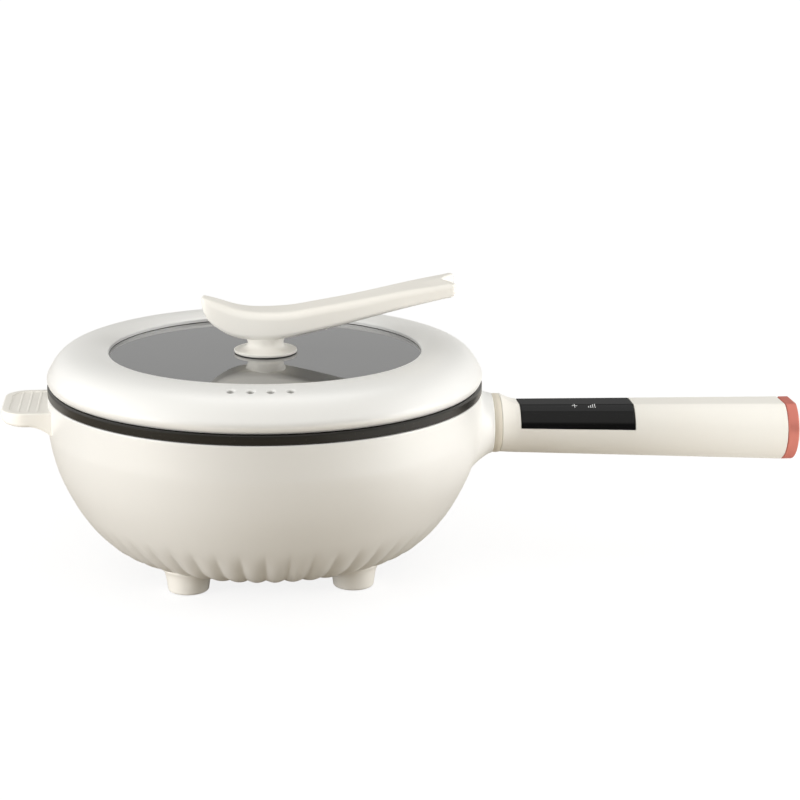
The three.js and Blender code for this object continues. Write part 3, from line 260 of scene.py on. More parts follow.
class Finish:
    """The look of one material, with its shader nodes."""

    def __init__(self, name, tree=None):
        self.material = None if tree else bpy.data.materials.new(name)
        if self.material:
            self.material.use_nodes = True
        self.tree = tree or self.material.node_tree
        self.shader = self.tree.nodes.get("Principled BSDF")

    def node(self, kind, settings=None, sockets=None, output=0):
        """Adds a node: its settings first, then the values or wires of its sockets."""
        made = self.tree.nodes.new(kind)
        for name, value in (settings or {}).items():
            setattr(made, name, value)
        for name, value in (sockets or {}).items():
            self.join(made.inputs[name], value)
        return Wire(self, made.outputs[output])

    def join(self, socket, value):
        """Sets a socket's value, or links a wire to it."""
        if isinstance(value, Wire):
            self.tree.links.new(value.socket, socket)
        else:
            socket.default_value = value

    def place(self):
        """A point's own place on the object, in metres."""
        return self.node("ShaderNodeTexCoord", output="Object")

    def stretched(self, place, amounts):
        """The place with each axis scaled, for patterns that run one way."""
        return self.node("ShaderNodeVectorMath", {"operation": "MULTIPLY"}, {0: place, 1: amounts})

    def noise(self, place, size, detail=3, roughness=0.5):
        """Soft noise whose patches are about the given size in metres."""
        values = {"Vector": place, "Scale": 1 / size, "Detail": detail, "Roughness": roughness}
        return self.node("ShaderNodeTexNoise", {}, values)

    def between(self, low, high, value):
        """Value eased from 0 at low to 1 at high."""
        values = {"Value": value, "From Min": low, "From Max": high}
        return self.node("ShaderNodeMapRange", {"interpolation_type": "SMOOTHSTEP"}, values)

    def mixed(self, share, first, second):
        """One colour going over into another."""
        return self.node("ShaderNodeMix", {"data_type": "RGBA"}, {0: share, 6: first, 7: second}, output=2)

    def bump(self, height, distance):
        """A normal from a height, whose full range is the given distance in metres."""
        return self.node("ShaderNodeBump", {}, {"Height": height, "Distance": distance, "Strength": 1})

    def along(self, axis, direction):
        """One number of a vector, by the name of its axis."""
        return self.node("ShaderNodeSeparateXYZ", {}, {0: direction}, output=axis)

    def surface(self, **sockets):
        """Sets sockets of the surface shader: Base_Color stands for Base Color."""
        for name, value in sockets.items():
            self.join(self.shader.inputs[name.replace("_", " ")], value)
        return self.material


def moulded(name, colour, shade, roughness, patch=0.09, peel=0.0016, peel_height=0.000012, **fixed):
    """Moulded plastic: two near colours in soft patches, a fine uneven gloss and a slight orange peel."""
    finish = Finish(name)
    place = finish.place()
    patches = finish.between(0.3, 0.7, finish.noise(place, patch, 2))
    skin_noise = finish.noise(place, peel, 2)
    smears = finish.noise(place, 0.021, 4)
    return finish.surface(
        Base_Color=finish.mixed(patches, colour, shade),
        Roughness=roughness + 0.07 * (smears - 0.5) + 0.05 * (skin_noise - 0.5),
        Normal=finish.bump(skin_noise, peel_height),
        **fixed,
    )


def fit(made, body, slot_name, finish, *nodes):
    """Puts a finish on a piece, lets it ride on its body, and hides the CAD nodes it stands for."""
    made.modifiers.new("flat_faces", "WEIGHTED_NORMAL").keep_sharp = True
    made.data.materials.clear()
    made.data.materials.append(finish)
    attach(made, body)
    if nodes:
        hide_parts(*nodes)


pearl = moulded(
    "pearl_plastic", hue(252, 252, 250), hue(250, 250, 248), 0.42,
    Metallic=0.35, Coat_Weight=0.3, Coat_Roughness=0.3, Specular_IOR_Level=0.5,
)
bowl_line = smooth_curve([(r * bowl_radius, rim - d * bowl_depth) for r, d in bowl_shares], bowl_rows)
bowl_line[:, 0] = np.minimum(bowl_line[:, 0], bowl_radius)
bowl_line = bowl_line[bowl_line[:, 1] < rim - rim_round]
outward = outward_of(bowl_line)

bowl_columns = flute_count * flute_columns
flute_turn = (np.arange(bowl_columns) + flute_shift) / flute_columns * math.pi
flute_fade = eased((rim - bowl_line[:, 1]) / bowl_depth, *flute_top_shares)
flute_fade *= eased(bowl_line[:, 0] / bowl_radius, *flute_end_shares)
flute_cut = flute_depth * flute_fade[:, None] * (1 - np.abs(np.sin(flute_turn)))
fluted = bowl_line[:, None, :] - outward[:, None, :] * flute_cut[:, :, None]
column_angle = circle(bowl_columns) - math.pi / 2
fluted_x = axis_x + fluted[..., 0] * np.cos(column_angle)
fluted_rows = np.stack([fluted_x, fluted[..., 0] * np.sin(column_angle), fluted[..., 1]], -1)
cover_low, cover_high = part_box("base_cover")
fitting_gap = 0.0003
cover_hole = cover_high.y + fitting_gap
cover_ledge = 0.009
ledge_height = (cover_high.z + cover_low.z) / 2 + 0.0005
inside_line = bowl_line - outward * shell_wall
inside_line = inside_line[inside_line[:, 1] > bowl_floor + shell_wall]
inside_line = inside_line[inside_line[:, 1] < rim - shell_wall]
shell_inside = [
    (cover_hole, bowl_floor), (cover_hole, ledge_height), (cover_hole - cover_ledge, ledge_height),
    (cover_hole - cover_ledge, bowl_floor + shell_wall), *inside_line[::-6],
    (bowl_radius - shell_wall, rim), (bowl_radius - rim_round, rim),
]
rim_turn = np.linspace(0, math.pi / 2, 5)[1:-1]
rim_arc = [
    (bowl_radius - rim_round * (1 - math.sin(a)), rim - rim_round * (1 - math.cos(a))) for a in rim_turn
]
inside_rows = turned([*shell_inside, *rim_arc], bowl_columns, (axis_x, 0, 0))

# The neck: a round tube that runs out of the bowl in a soft flare, wide below and narrow on top.
collar_low, collar_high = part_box("handle_collar")
neck_z = (collar_low.z + collar_high.z) / 2
neck_end = collar_low.x - fitting_gap
neck_radius = 0.0213
neck_bore = 0.0168
neck_flare_below = 0.0165
neck_flare_above = 0.0035
neck_sink = 0.0012
neck_columns = 96
neck_pull_out = 0.15
neck_pull_in = 0.45
neck_edge = 0.0006
neck_recess_depth = 0.0027


def bowl_x(side, height, depth=0.0):
    """Place along X of the bowl's outside, or of a layer under it, at a distance to the side and a height."""
    radius = np.interp(height, bowl_line[::-1, 1], bowl_line[::-1, 0]) - depth
    return axis_x + np.sqrt(radius**2 - side**2)


neck_angle = circle(neck_columns)
neck_side, neck_up = np.sin(neck_angle), np.cos(neck_angle)
neck_spread = neck_flare_below + (neck_flare_above - neck_flare_below) * eased(neck_up, -0.55, 1)


def neck_ring(radius, x):
    """A ring round the neck's axis."""
    return np.stack([x + 0 * neck_side, radius * neck_side, neck_z + radius * neck_up], 1)


def ring_on_bowl(radius, depth=0.0):
    """Where a tube of this radius meets the bowl, or a layer under its surface."""
    return neck_ring(radius, bowl_x(radius * neck_side, neck_z + radius * neck_up, depth))


flare_start = neck_ring(neck_radius, neck_end - neck_edge)
flare_end = ring_on_bowl(neck_radius + neck_spread)
flare_along = ring_on_bowl(neck_radius + neck_spread * 0.9) - flare_end
flare_along /= np.linalg.norm(flare_along, axis=1)[:, None]
pull_out = flare_start + np.array((-1, 0, 0)) * ((flare_start - flare_end)[:, :1] * neck_pull_out)
pull_in = flare_end + flare_along * (neck_spread * neck_pull_in)[:, None]
flare_rows = [
    (1 - t) ** 3 * flare_start + 3 * t * (1 - t) ** 2 * pull_out
    + 3 * t * t * (1 - t) * pull_in + t**3 * flare_end
    for t in np.linspace(0, 1, 25)
]
neck_rows = [
    neck_ring(neck_bore, neck_end),
    neck_ring(neck_radius - neck_edge, neck_end),
    *flare_rows,
    ring_on_bowl(neck_radius + neck_spread + neck_sink, neck_sink),
    ring_on_bowl(neck_bore + 0 * neck_spread, neck_sink),
]
neck = piece("neck", skin(neck_rows, looped=True))
screw_low, screw_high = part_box("handle_screw_1")
recess_radius = (screw_high.y - screw_low.y) / 2 + fitting_gap
recess_x = (screw_low.x + screw_high.x) / 2


def post(radius, low, high):
    """Outline of a solid round post."""
    return [(0, low), (radius, low), (radius, high), (0, high)]


recess_outline = post(recess_radius, collar_low.z - shell_wall, collar_low.z + neck_recess_depth)
cut(neck, piece("neck_recess", skin(turned(recess_outline, 48, (recess_x, 0, 0)))))
outer_shell = piece(
    "bowl_with_neck", skin([*fluted_rows, *inside_rows], looped=True), parts_of(neck), sharp=math.radians(62)
)
fit(outer_shell, "base", "pearl_plastic", pearl, "outer_shell")


# Base cover: a round plate under the bowl with vent slots, cream plastic, held by three small screws.
# The screws are zinc-plated steel with a cross in their heads.
cream = moulded(
    "cream_plastic", hue(249, 247, 241), hue(247, 244, 237), 0.4,
    Coat_Weight=0.2, Coat_Roughness=0.25, Specular_IOR_Level=0.5,
)
cover_radius = cover_high.y
slot_half_length = 0.017
slot_half_width = 0.0015
slot_pitch = 0.008
slot_count = 5
cover_edge = 0.0006


def plate(inner, outer, low, high, edge):
    """Outline of a round plate whose lower rim is softened."""
    return rounded([(inner, low, 0), (outer, low, edge), (outer, high, 0), (inner, high, 0)])


def upright(outline, levels):
    """The same flat outline at each of the levels."""
    return [np.column_stack([outline, np.full(len(outline), z)]) for z in levels]


cover_plate = plate(0, cover_radius, cover_low.z, cover_high.z, cover_edge)
base_cover = piece("bottom_cover", skin(turned(cover_plate, 160, (axis_x, 0, 0))))
for i in range(slot_count):
    y = (i - (slot_count - 1) / 2) * slot_pitch
    ends = np.linspace(-math.pi / 2, math.pi / 2, 9)
    half = [(slot_half_length + slot_half_width * math.cos(a), slot_half_width * math.sin(a)) for a in ends]
    outline = np.array([*half, *[(-x, -side) for x, side in half]])
    levels = (cover_low.z - shell_wall, cover_high.z + shell_wall)
    cut(base_cover, piece("slot", skin(upright(outline + (axis_x, y), levels), capped=True)))
fit(base_cover, "base", "cream_plastic", cream, "base_cover")


def metal(name, colour, roughness, brush=(1, 1, 1), grain=0.0006, depth=0.000004):
    """Bare metal with fine marks that run one way where the brush is uneven."""
    finish = Finish(name)
    place = finish.place()
    marks = finish.noise(finish.stretched(place, brush), grain, 4)
    stains = finish.noise(place, 0.012, 3)
    dull = tuple(value * 0.82 for value in colour[:3]) + (1,)
    return finish.surface(
        Base_Color=finish.mixed(finish.between(0.35, 0.75, stains), colour, dull),
        Metallic=1.0,
        Roughness=roughness + 0.2 * (marks - 0.5) + 0.1 * (stains - 0.5),
        Normal=finish.bump(marks, depth),
    )


steel = metal("steel", hue(205, 206, 208), 0.32)
cross_half_width_share = 0.13
cross_half_length_share = 0.58
cross_depth_share = 0.6
shaft_share = 0.48


def cross_screw(name, node, head_height, body):
    """A pan-head screw, head down, in the place of a CAD screw."""
    low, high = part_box(node)
    radius = max(high.x - low.x, high.y - low.y) / 2
    centre = ((low.x + high.x) / 2, (low.y + high.y) / 2, 0)
    shaft = radius * shaft_share
    seat = low.z + head_height
    outline = rounded(
        [(0, low.z, 0), (radius, low.z, head_height / 2), (radius, seat, 0), (shaft, seat, 0),
         (shaft, high.z, shaft / 4), (0, high.z, 0)]
    )
    made = piece(name, skin(turned(outline, 48, centre)))
    for turn in (0, math.pi / 2):
        wide, thin = radius * cross_half_length_share, radius * cross_half_width_share
        across = np.array([(-wide, -thin), (-wide, thin), (wide, thin), (wide, -thin)])
        turning = np.array([(math.cos(turn), math.sin(turn)), (-math.sin(turn), math.cos(turn))])
        flat = across @ turning + np.array(centre[:2])
        levels = (low.z - head_height, low.z + head_height * cross_depth_share)
        cut(made, piece("cross", skin(upright(flat, levels), capped=True)), math.radians(30))
    fit(made, body, "steel", steel, node)


small_head_height = 0.0014
for number in (1, 2, 3):
    cross_screw(f"cover_fixing_{number}", f"cover_screw_{number}", small_head_height, "base")


# Inner pot: die-cast aluminium under a dark non-stick coating with fine flecks. Its flange lies on the
# shell's rim and shows as the dark band under the lid.
flange_top = pot_high.z
flange_low = rim + fitting_gap
flange_plate = 0.003
pot_opening = bowl_radius - 0.009
pot_wall = 0.003
pot_floor = 0.004
pot_depth = bowl_depth - 0.0218 - pot_floor
pot_floor_low = rim - pot_depth - pot_floor
# Radius and depth of the pot's inside, from the rim to the flat floor.
pot_shares = [
    (1, 0), (0.997, 0.18), (0.976, 0.42), (0.925, 0.63), (0.842, 0.8), (0.735, 0.92), (0.62, 0.98), (0.5, 1),
]
pot_boss_radius = 0.0046
coating_finish = Finish("pot_coating")
coating_place = coating_finish.place()
flecks = coating_finish.node("ShaderNodeTexVoronoi", {}, {"Vector": coating_place, "Scale": 700})
fleck_mask = 1 - coating_finish.between(0.1, 0.22, flecks)
fleck_thin = coating_finish.between(0.5, 0.62, coating_finish.noise(coating_place, 0.003, 3))
coating_grain = coating_finish.noise(coating_place, 0.0007, 3)
coating = coating_finish.surface(
    Base_Color=coating_finish.mixed(fleck_mask * fleck_thin * 0.6, hue(20, 18, 13), hue(96, 90, 80)),
    Metallic=0.1,
    Roughness=0.3 + 0.12 * coating_grain,
    Normal=coating_finish.bump(coating_grain, 0.00002),
    Coat_Weight=0.3,
    Coat_Roughness=0.15,
)
pot_line = smooth_curve([(r * pot_opening, rim - d * pot_depth) for r, d in pot_shares], 48)
pot_outside = pot_line + outward_of(pot_line) * pot_wall
pot_outside = pot_outside[(pot_outside[:, 1] > pot_floor_low) & (pot_outside[:, 1] < rim - pot_wall)]
pot_lip = bowl_radius - shell_wall
flange = rounded(
    [
        (pot_opening, rim, 0), (pot_opening, flange_top, 0.0012), (bowl_radius, flange_top, 0.0012),
        (bowl_radius, flange_low, 0.0008), (pot_lip, flange_low, 0), (pot_lip, flange_top - flange_plate, 0),
        (pot_opening + pot_wall, flange_top - flange_plate, 0),
    ]
)
pot_outline = [
    (0, rim - pot_depth), *pot_line[::-1], *flange[1:], *pot_outside,
    (pot_line[-1][0], pot_floor_low), (0, pot_floor_low),
]
foot_boxes = [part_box(f"foot_pad_{number}") for number in (1, 2, 3, 4)]
foot_places = [((low.x + high.x) / 2, (low.y + high.y) / 2) for low, high in foot_boxes]
boss_low = pot_low.z
boss_outline = post(pot_boss_radius, boss_low, pot_floor_low + pot_floor / 2)
pot_bosses = [skin(turned(boss_outline, 32, (x, y, 0))) for x, y in foot_places]
inner_pot = piece("coated_pot", skin(turned(pot_outline, 256, (axis_x, 0, 0))), *pot_bosses)
fit(inner_pot, "base", "pot_coating", coating, "inner_pot")


# Feet: four round tapered feet in cream plastic, each held by a screw that runs up into the pot. A pale
# silicone pad closes each foot's pocket.
foot_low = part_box("foot_1")[0]
foot_radius = 0.014
foot_top_radius = 0.017
foot_top = bowl_floor + 0.0112
foot_round = 0.0018
foot_sink = 0.0022
foot_columns = 96
foot_flare = 0.0016
pocket_radius = 0.0093
pocket_top = 0.002
sole_radius = 0.009
sole_edge = 0.0005
rubber = moulded(
    "soft_rubber", hue(217, 213, 203), hue(205, 201, 190), 0.72, patch=0.006, peel=0.0004, peel_height=0.00003
)


bowl_low_line = bowl_line[bowl_line[:, 0] < bowl_radius * 0.95][::-1]
foot_angle = circle(foot_columns)
for number, (x, y) in enumerate(foot_places, 1):
    def ring_at(radius, height):
        """A ring round this foot's axis."""
        heights = np.broadcast_to(height, foot_angle.shape)
        return np.stack([x + radius * np.cos(foot_angle), y + radius * np.sin(foot_angle), heights], 1)

    def top_of(ring, sink):
        """Heights at which a ring's points meet the bowl, sunk into it."""
        reach = np.hypot(ring[:, 0] - axis_x, ring[:, 1])
        return np.interp(reach, bowl_low_line[:, 0], bowl_low_line[:, 1]) + sink

    start = foot_low.z + foot_round
    top = top_of(ring_at(foot_radius, 0), 0)
    steps = np.linspace(0, 1, 14)
    rows = [ring_at(pocket_radius, pocket_top), ring_at(pocket_radius, foot_low.z)]
    for a in np.linspace(0, math.pi / 2, 6):
        edge = foot_radius - foot_round * (1 - math.sin(a))
        rows.append(ring_at(edge, start - foot_round * math.cos(a)))
    for t in steps[1:]:
        height = start + t * (top - start)
        radius = foot_radius + (foot_top_radius - foot_radius) * (height - start) / (foot_top - start)
        rows.append(ring_at(radius + foot_flare * t**6, height))
    last = rows[-1]
    rows.append(np.column_stack([last[:, :2], top_of(last, foot_sink)]))
    inside = start + foot_sink * 3
    rows.append(ring_at(pocket_radius, inside))
    foot = piece(f"foot_body_{number}", skin([ring_at(0, pocket_top), *rows, ring_at(0, inside)]))
    fit(foot, "base", "cream_plastic", cream, f"foot_{number}")
    pad_low, pad_high = foot_boxes[number - 1]
    pad_outline = plate(0, sole_radius, pad_low.z, pad_high.z, sole_edge)
    pad = piece(f"foot_sole_{number}", skin(turned(pad_outline, 64, (x, y, 0))))
    fit(pad, "base", "soft_rubber", rubber, f"foot_pad_{number}")


def dress(finish, *nodes, edge=0.0, sharp=math.radians(35)):
    """Gives CAD nodes that stay as they are a finish, smooth rounds and, where asked, softened edges."""
    for name in nodes:
        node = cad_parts[name]
        node.data.materials.clear()
        node.data.materials.append(finish)
        node.data.shade_smooth()
        node.data.set_sharp_from_angle(angle=sharp)
        if edge:
            bevel = node.modifiers.new("edge", "BEVEL")
            bevel.width = edge
            bevel.segments = 2
            bevel.limit_method = "ANGLE"
            bevel.angle_limit = sharp


dress(steel, "foot_screw_1", "foot_screw_2", "foot_screw_3", "foot_screw_4")


# Heater: a sheathed heating tube cast under an aluminium plate, which presses on the pot's floor, with a
# thermostat on a steel bracket and a thermal fuse. Bare castings and stampings, closed in by the shell.
plate_metal = metal("plate_aluminium", hue(196, 199, 204), 0.45, grain=0.0012, depth=0.00003)
brass = metal("contact_brass", hue(214, 182, 112), 0.3)
dark_plastic = moulded(
    "dark_plastic", hue(44, 44, 47), hue(38, 38, 41), 0.5, patch=0.01, peel=0.0005, peel_height=0.00003
)
dress(plate_metal, "heater_plate")
dress(steel, "heater_tube", "heater_pin_1", "heater_pin_2", "bracket_screw_1", "bracket_screw_2")
dress(steel, "thermostat_bracket", edge=0.0002)
dress(brass, "thermostat", edge=0.0004)
dress(dark_plastic, "thermal_fuse", edge=0.0003)


# Ear handle: a short flat grip opposite the long handle, cream plastic, screwed to the bowl from inside.
# Its top has a shallow field with three cross ridges, and it grows deeper towards the bowl.
ear_low, ear_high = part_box("ear_handle")
ear_tip = axis_x - ear_low.x
ear_half = ear_high.y
ear_top = ear_high.z
ear_corner = 0.017
ear_thick = 0.0098
ear_gusset = 0.013
ear_gusset_run = 0.021
ear_gusset_start = pot_opening
ear_rise = 0.0018
ear_top_round = 0.0012
ear_low_round = 0.0027
field_border = 0.0052
field_wall = 0.0007
field_depth = 0.0006
ridge_first = 0.0122
ridge_pitch = 0.0063
ridge_half = 0.0011
ridge_height = 0.0003
ear_rows = 110
ear_columns = 150


def ear_edge_distance(out, side):
    """Distance from the ear's outline, which is straight at the sides and rounded at its two corners."""
    past = np.maximum(out - (ear_tip - ear_corner), 0)
    beside = np.maximum(np.abs(side) - (ear_half - ear_corner), 0)
    return ear_corner - np.hypot(past, beside)


def ear_round(distance, size):
    """How far an edge of a given rounding falls at a distance from the outline."""
    near = np.clip(1 - distance / size, 0, 1)
    return size * (1 - np.sqrt(1 - near**2))


across = np.sin(np.linspace(-math.pi / 2, math.pi / 2, ear_columns))
across = 0.75 * across + 0.25 * np.linspace(-1, 1, ear_columns)
ear_side = ear_half * across
beside = np.clip(np.abs(ear_side) - (ear_half - ear_corner), 0, ear_corner)
ear_end = ear_tip - ear_corner + np.sqrt(ear_corner**2 - beside**2)
ear_start = np.sqrt((bowl_radius - shell_wall / 2) ** 2 - ear_side**2)
ear_loft = []
for share in np.linspace(0, 1, ear_rows):
    eased_share = 0.5 * share + 0.5 * math.sin(share * math.pi / 2)
    out = ear_start + eased_share * (ear_end - ear_start)
    edge = ear_edge_distance(out, ear_side)
    field = eased(edge, field_border, field_border + field_wall)
    ridges = 0
    for i in range(3):
        offset = np.clip((out - (ear_tip - ridge_first - i * ridge_pitch)) / ridge_half, -1, 1)
        ridges = ridges + ridge_height * np.cos(offset * math.pi / 2) ** 2
    top = ear_top - ear_round(edge, ear_top_round) - field * (field_depth - ridges)
    deep = np.clip(1 - (out - ear_gusset_start) / ear_gusset_run, 0, None)
    past = np.clip((out - (ear_tip - ear_corner)) / ear_corner, 0, 1)
    bottom = ear_top - ear_thick - ear_gusset * deep**2 + ear_rise * past**2
    bottom = bottom + ear_round(edge, ear_low_round)
    above = np.stack([axis_x - out, ear_side, top], 1)
    below = np.stack([axis_x - out, ear_side, np.minimum(bottom, top - ear_top_round)], 1)
    ear_loft.append([*above, *below[::-1]])
ear_handle = piece("ear_grip", skin(ear_loft, capped=True))
fit(ear_handle, "base", "cream_plastic", cream, "ear_handle")
dress(steel, "ear_screw_1", "ear_screw_2")


# Collar: a plain ring in a darker cream, which fills the joint between neck and long handle. The bracket
# inside is dark glass-filled plastic, plugged into the neck and screwed to both from below.
collar_radius = 0.0213
collar_groove = 0.0007
collar_edge = 0.0004
collar_round = 0.001
collar_end = collar_high.x + fitting_gap
collar_outline = rounded(
    [
        (neck_bore, neck_end, 0), (collar_radius - collar_groove, neck_end, collar_edge),
        (collar_radius - collar_groove / 2, (collar_low.x + collar_high.x) / 2, collar_round),
        (collar_radius - collar_groove, collar_end, collar_edge), (neck_bore, collar_end, 0),
    ]
)
collar = piece("collar_ring", skin(turned(collar_outline, 160, (0, 0, neck_z), lying=True), looped=True))
sand = moulded(
    "collar_plastic", hue(238, 232, 218), hue(234, 227, 212), 0.42, Coat_Weight=0.15, Coat_Roughness=0.3
)
fit(collar, "base", "cream_plastic", sand, "handle_collar")
dress(dark_plastic, "handle_bracket", sharp=math.radians(25))
head_height = 0.0024
for number in (1, 2):
    cross_screw(f"handle_fixing_{number}", f"handle_screw_{number}", head_height, "base")


# Long handle: a tapered round bar with a flat along its top, one hollow cream moulding. A recess in the
# flat and the upper sides takes the control panel, and a screw from below holds the bracket's tongue.
grip_low, grip_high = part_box("handle_shell")
panel_low, panel_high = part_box("control_panel")
socket_low, socket_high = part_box("inlet_socket")
grip_root = grip_low.x
grip_start = panel_low.x
cap_overlap = 0.001
grip_end = grip_high.x - cap_overlap
grip_radius_root = 0.0211
grip_radius_start = 0.01925
grip_radius_end = grip_high.y
grip_axis_start = neck_z - 0.0021
grip_axis_end = (socket_low.z + socket_high.z) / 2
grip_flat_share = 0.887
grip_corner = 0.0034
grip_wall = 0.0032
grip_plug = 0.008
grip_edge = 0.0007
grip_crease = math.radians(32)
panel_lift = 0.0025
panel_thick = 0.0017
flat_points = 16
corner_points = 6
upper_points = 22
lower_points = 40


def grip_at(x):
    """Radius, height of the axis and of the flat over it, at a place along the handle."""
    along = (x - grip_start) / (grip_end - grip_start)
    root = min(max((grip_start - x) / (grip_start - grip_root), 0), 1)
    radius = grip_radius_start + (grip_radius_end - grip_radius_start) * along
    radius += (grip_radius_root - grip_radius_start) * root**2
    axis = grip_axis_start + (grip_axis_end - grip_axis_start) * along + (neck_z - grip_axis_start) * root**2
    flat = radius * (grip_flat_share + (1 - grip_flat_share) * root)
    return radius, axis, flat


def grip_half(x, inset, edge_drop=0.0):
    """Half a section of the handle: from the middle of the flat to the panel's lower edge, and from there to
    the middle underneath, as distances from the handle's axis."""
    radius, _, flat = grip_at(x)
    size = radius - inset
    top = flat - inset
    corner = min(grip_corner, size * 0.4)
    middle = math.sqrt(max((size - corner) ** 2 - (top - corner) ** 2, 0))
    turn_off = math.atan2(top - corner, middle)
    edge = math.asin((panel_lift - edge_drop) / size)
    over = [(middle * i / flat_points, top) for i in range(flat_points)]
    for a in np.linspace(math.pi / 2, turn_off, corner_points):
        over.append((middle + corner * math.cos(a), top - corner + corner * math.sin(a)))
    for a in np.linspace(turn_off, edge, upper_points)[1:]:
        over.append((size * math.cos(a), size * math.sin(a)))
    below = np.linspace(edge, -math.pi / 2, lower_points)[:-1]
    return over, [*((size * math.cos(a), size * math.sin(a)) for a in below), (0, -size)]


def grip_ring(x, upper_inset=0.0, lower_inset=0.0, edge_drop=0.0):
    """A section of the handle, from its left over the flat top to the right and back underneath. The part
    over the panel's lower edge may be drawn in by another amount than the part below it."""
    over = grip_half(x, upper_inset, edge_drop)[0]
    under = grip_half(x, lower_inset, edge_drop)[1]
    right = [*over, *under]
    left = [(-side, up) for side, up in right]
    ring = [*reversed(left[: len(over)]), *right, *reversed(left[len(over) :])]
    axis = grip_at(x)[1]
    return np.array([(x, side, axis + up) for side, up in ring])


recess_inset = panel_thick + fitting_gap
root_end = grip_root + grip_plug
outer_rows = [grip_ring(grip_root, grip_edge, grip_edge), grip_ring(grip_root + grip_edge)]
outer_rows += [grip_ring(x) for x in np.linspace(grip_root + grip_edge, grip_start - fitting_gap, 16)[1:]]
outer_rows += [
    grip_ring(x, recess_inset, 0, fitting_gap)
    for x in np.linspace(grip_start - fitting_gap, panel_high.x + fitting_gap, 24)
]
outer_rows += [grip_ring(x) for x in np.linspace(panel_high.x + fitting_gap, grip_end - grip_edge, 24)]
outer_rows += [grip_ring(grip_end, grip_edge, grip_edge), grip_ring(grip_end, grip_wall, grip_wall)]
outer_rows += [grip_ring(x, grip_wall, grip_wall) for x in np.linspace(grip_end, root_end, 30)]
handle_shell = piece("long_grip", skin(outer_rows, capped=True), sharp=grip_crease)
screw_low, screw_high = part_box("handle_screw_2")
screw_x = (screw_low.x + screw_high.x) / 2
head_radius = (screw_high.y - screw_low.y) / 2 + fitting_gap
head_hole = [
    (0, screw_low.z - grip_wall * 2), (head_radius, screw_low.z - grip_wall * 2),
    (head_radius, screw_low.z + head_height), (head_radius * shaft_share, screw_low.z + head_height),
    (head_radius * shaft_share, screw_low.z + grip_wall * 2), (0, screw_low.z + grip_wall * 2),
]
cut(handle_shell, piece("head_hole", skin(turned(head_hole, 48, (screw_x, 0, 0)))), grip_crease)
fit(handle_shell, "base", "cream_plastic", cream, "handle_shell")


# Control panel: a black gloss cover bent over the handle's flat top and upper sides, pressed into its
# recess. A plus sign and a few level bars are printed white on its front corner, over the touch springs.
panel_edge = 0.0004
panel_inset = 0.00015
gloss_finish = Finish("panel_gloss")
gloss_place = gloss_finish.place()
dust = gloss_finish.noise(gloss_place, 0.004, 5, 0.6)
wave = gloss_finish.noise(gloss_place, 0.015, 1)
gloss_up = gloss_finish.along("Z", gloss_finish.node("ShaderNodeNewGeometry", output="Normal"))
gloss_side = 1 - gloss_finish.between(0.9, 0.985, gloss_up)
panel_gloss = gloss_finish.surface(
    Base_Color=gloss_finish.mixed(gloss_finish.between(0.5, 0.8, dust), hue(13, 13, 14), hue(18, 18, 19)),
    Roughness=0.2 + 0.1 * (dust - 0.4),
    Normal=gloss_finish.bump(wave, 0.00002),
    Specular_IOR_Level=0.0,
    Coat_Weight=0.36 + 0.3 * gloss_side,
    Coat_Roughness=0.05,
)


def panel_arc(x, inset):
    """The panel's part of the handle's section, from its left lower edge over the top to its right one."""
    return grip_ring(x, inset, inset)[: 2 * (flat_points + corner_points + upper_points - 1)]


panel_rows = []
panel_ends = (panel_low.x + panel_inset, panel_high.x - panel_inset)
panel_stations = [
    (panel_ends[0], panel_edge), (panel_ends[0] + panel_edge * 0.3, panel_edge * 0.3),
    *[(x, 0) for x in np.linspace(panel_ends[0] + panel_edge, panel_ends[1] - panel_edge, 30)],
    (panel_ends[1] - panel_edge * 0.3, panel_edge * 0.3), (panel_ends[1], panel_edge),
]
for x, inset in panel_stations:
    outer = panel_arc(x, inset)
    inner = panel_arc(x, panel_thick)
    panel_rows.append([*outer, *inner[::-1]])
control_panel = piece("panel_cover", skin(panel_rows, capped=True), sharp=grip_crease)
fit(control_panel, "base", "panel_gloss", panel_gloss, "control_panel")

print_finish = Finish("white_print")
print_place = print_finish.place()
print_grain = print_finish.noise(print_place, 0.0003, 2)
white_print = print_finish.surface(
    Base_Color=print_finish.mixed(print_grain, hue(238, 240, 242), hue(214, 217, 220)),
    Roughness=0.45 + 0.1 * print_grain,
)
print_lift = 0.00004
print_thick = 0.00008
mark_middle = 0.0388
mark_bar = 0.0004
mark_arm = 0.002
level_start = 0.0484
level_pitch = 0.0015
level_heights = (0.0016, 0.0024, 0.0032, 0.004)
mark_centre = 0.0013


def on_panel(x, down, lift):
    """A point on the panel's front, at a way along it and a way down from the crease at the flat's edge."""
    line = np.array(grip_half(x, 0)[0])
    way = np.concatenate([[0], np.cumsum(np.linalg.norm(np.diff(line, axis=0), axis=1))])
    crease = (way[flat_points] + way[flat_points + corner_points - 1]) / 2
    side, up = (np.interp(crease + down, way, line[:, i]) for i in (0, 1))
    ahead_side, ahead_up = (np.interp(crease + down + print_thick, way, line[:, i]) for i in (0, 1))
    slope = math.atan2(up - ahead_up, ahead_side - side)
    return x, -side - lift * math.sin(slope), grip_at(x)[1] + up + lift * math.cos(slope)


def printed(start, end, top, bottom):
    """A thin printed bar that follows the panel."""
    downs = np.linspace(top, bottom, 7)
    rows = []
    for x in (start, end):
        over = [on_panel(x, down, print_lift + print_thick) for down in downs]
        under = [on_panel(x, down, -print_lift) for down in downs]
        rows.append([*over, *under[::-1]])
    return skin(rows, capped=True)


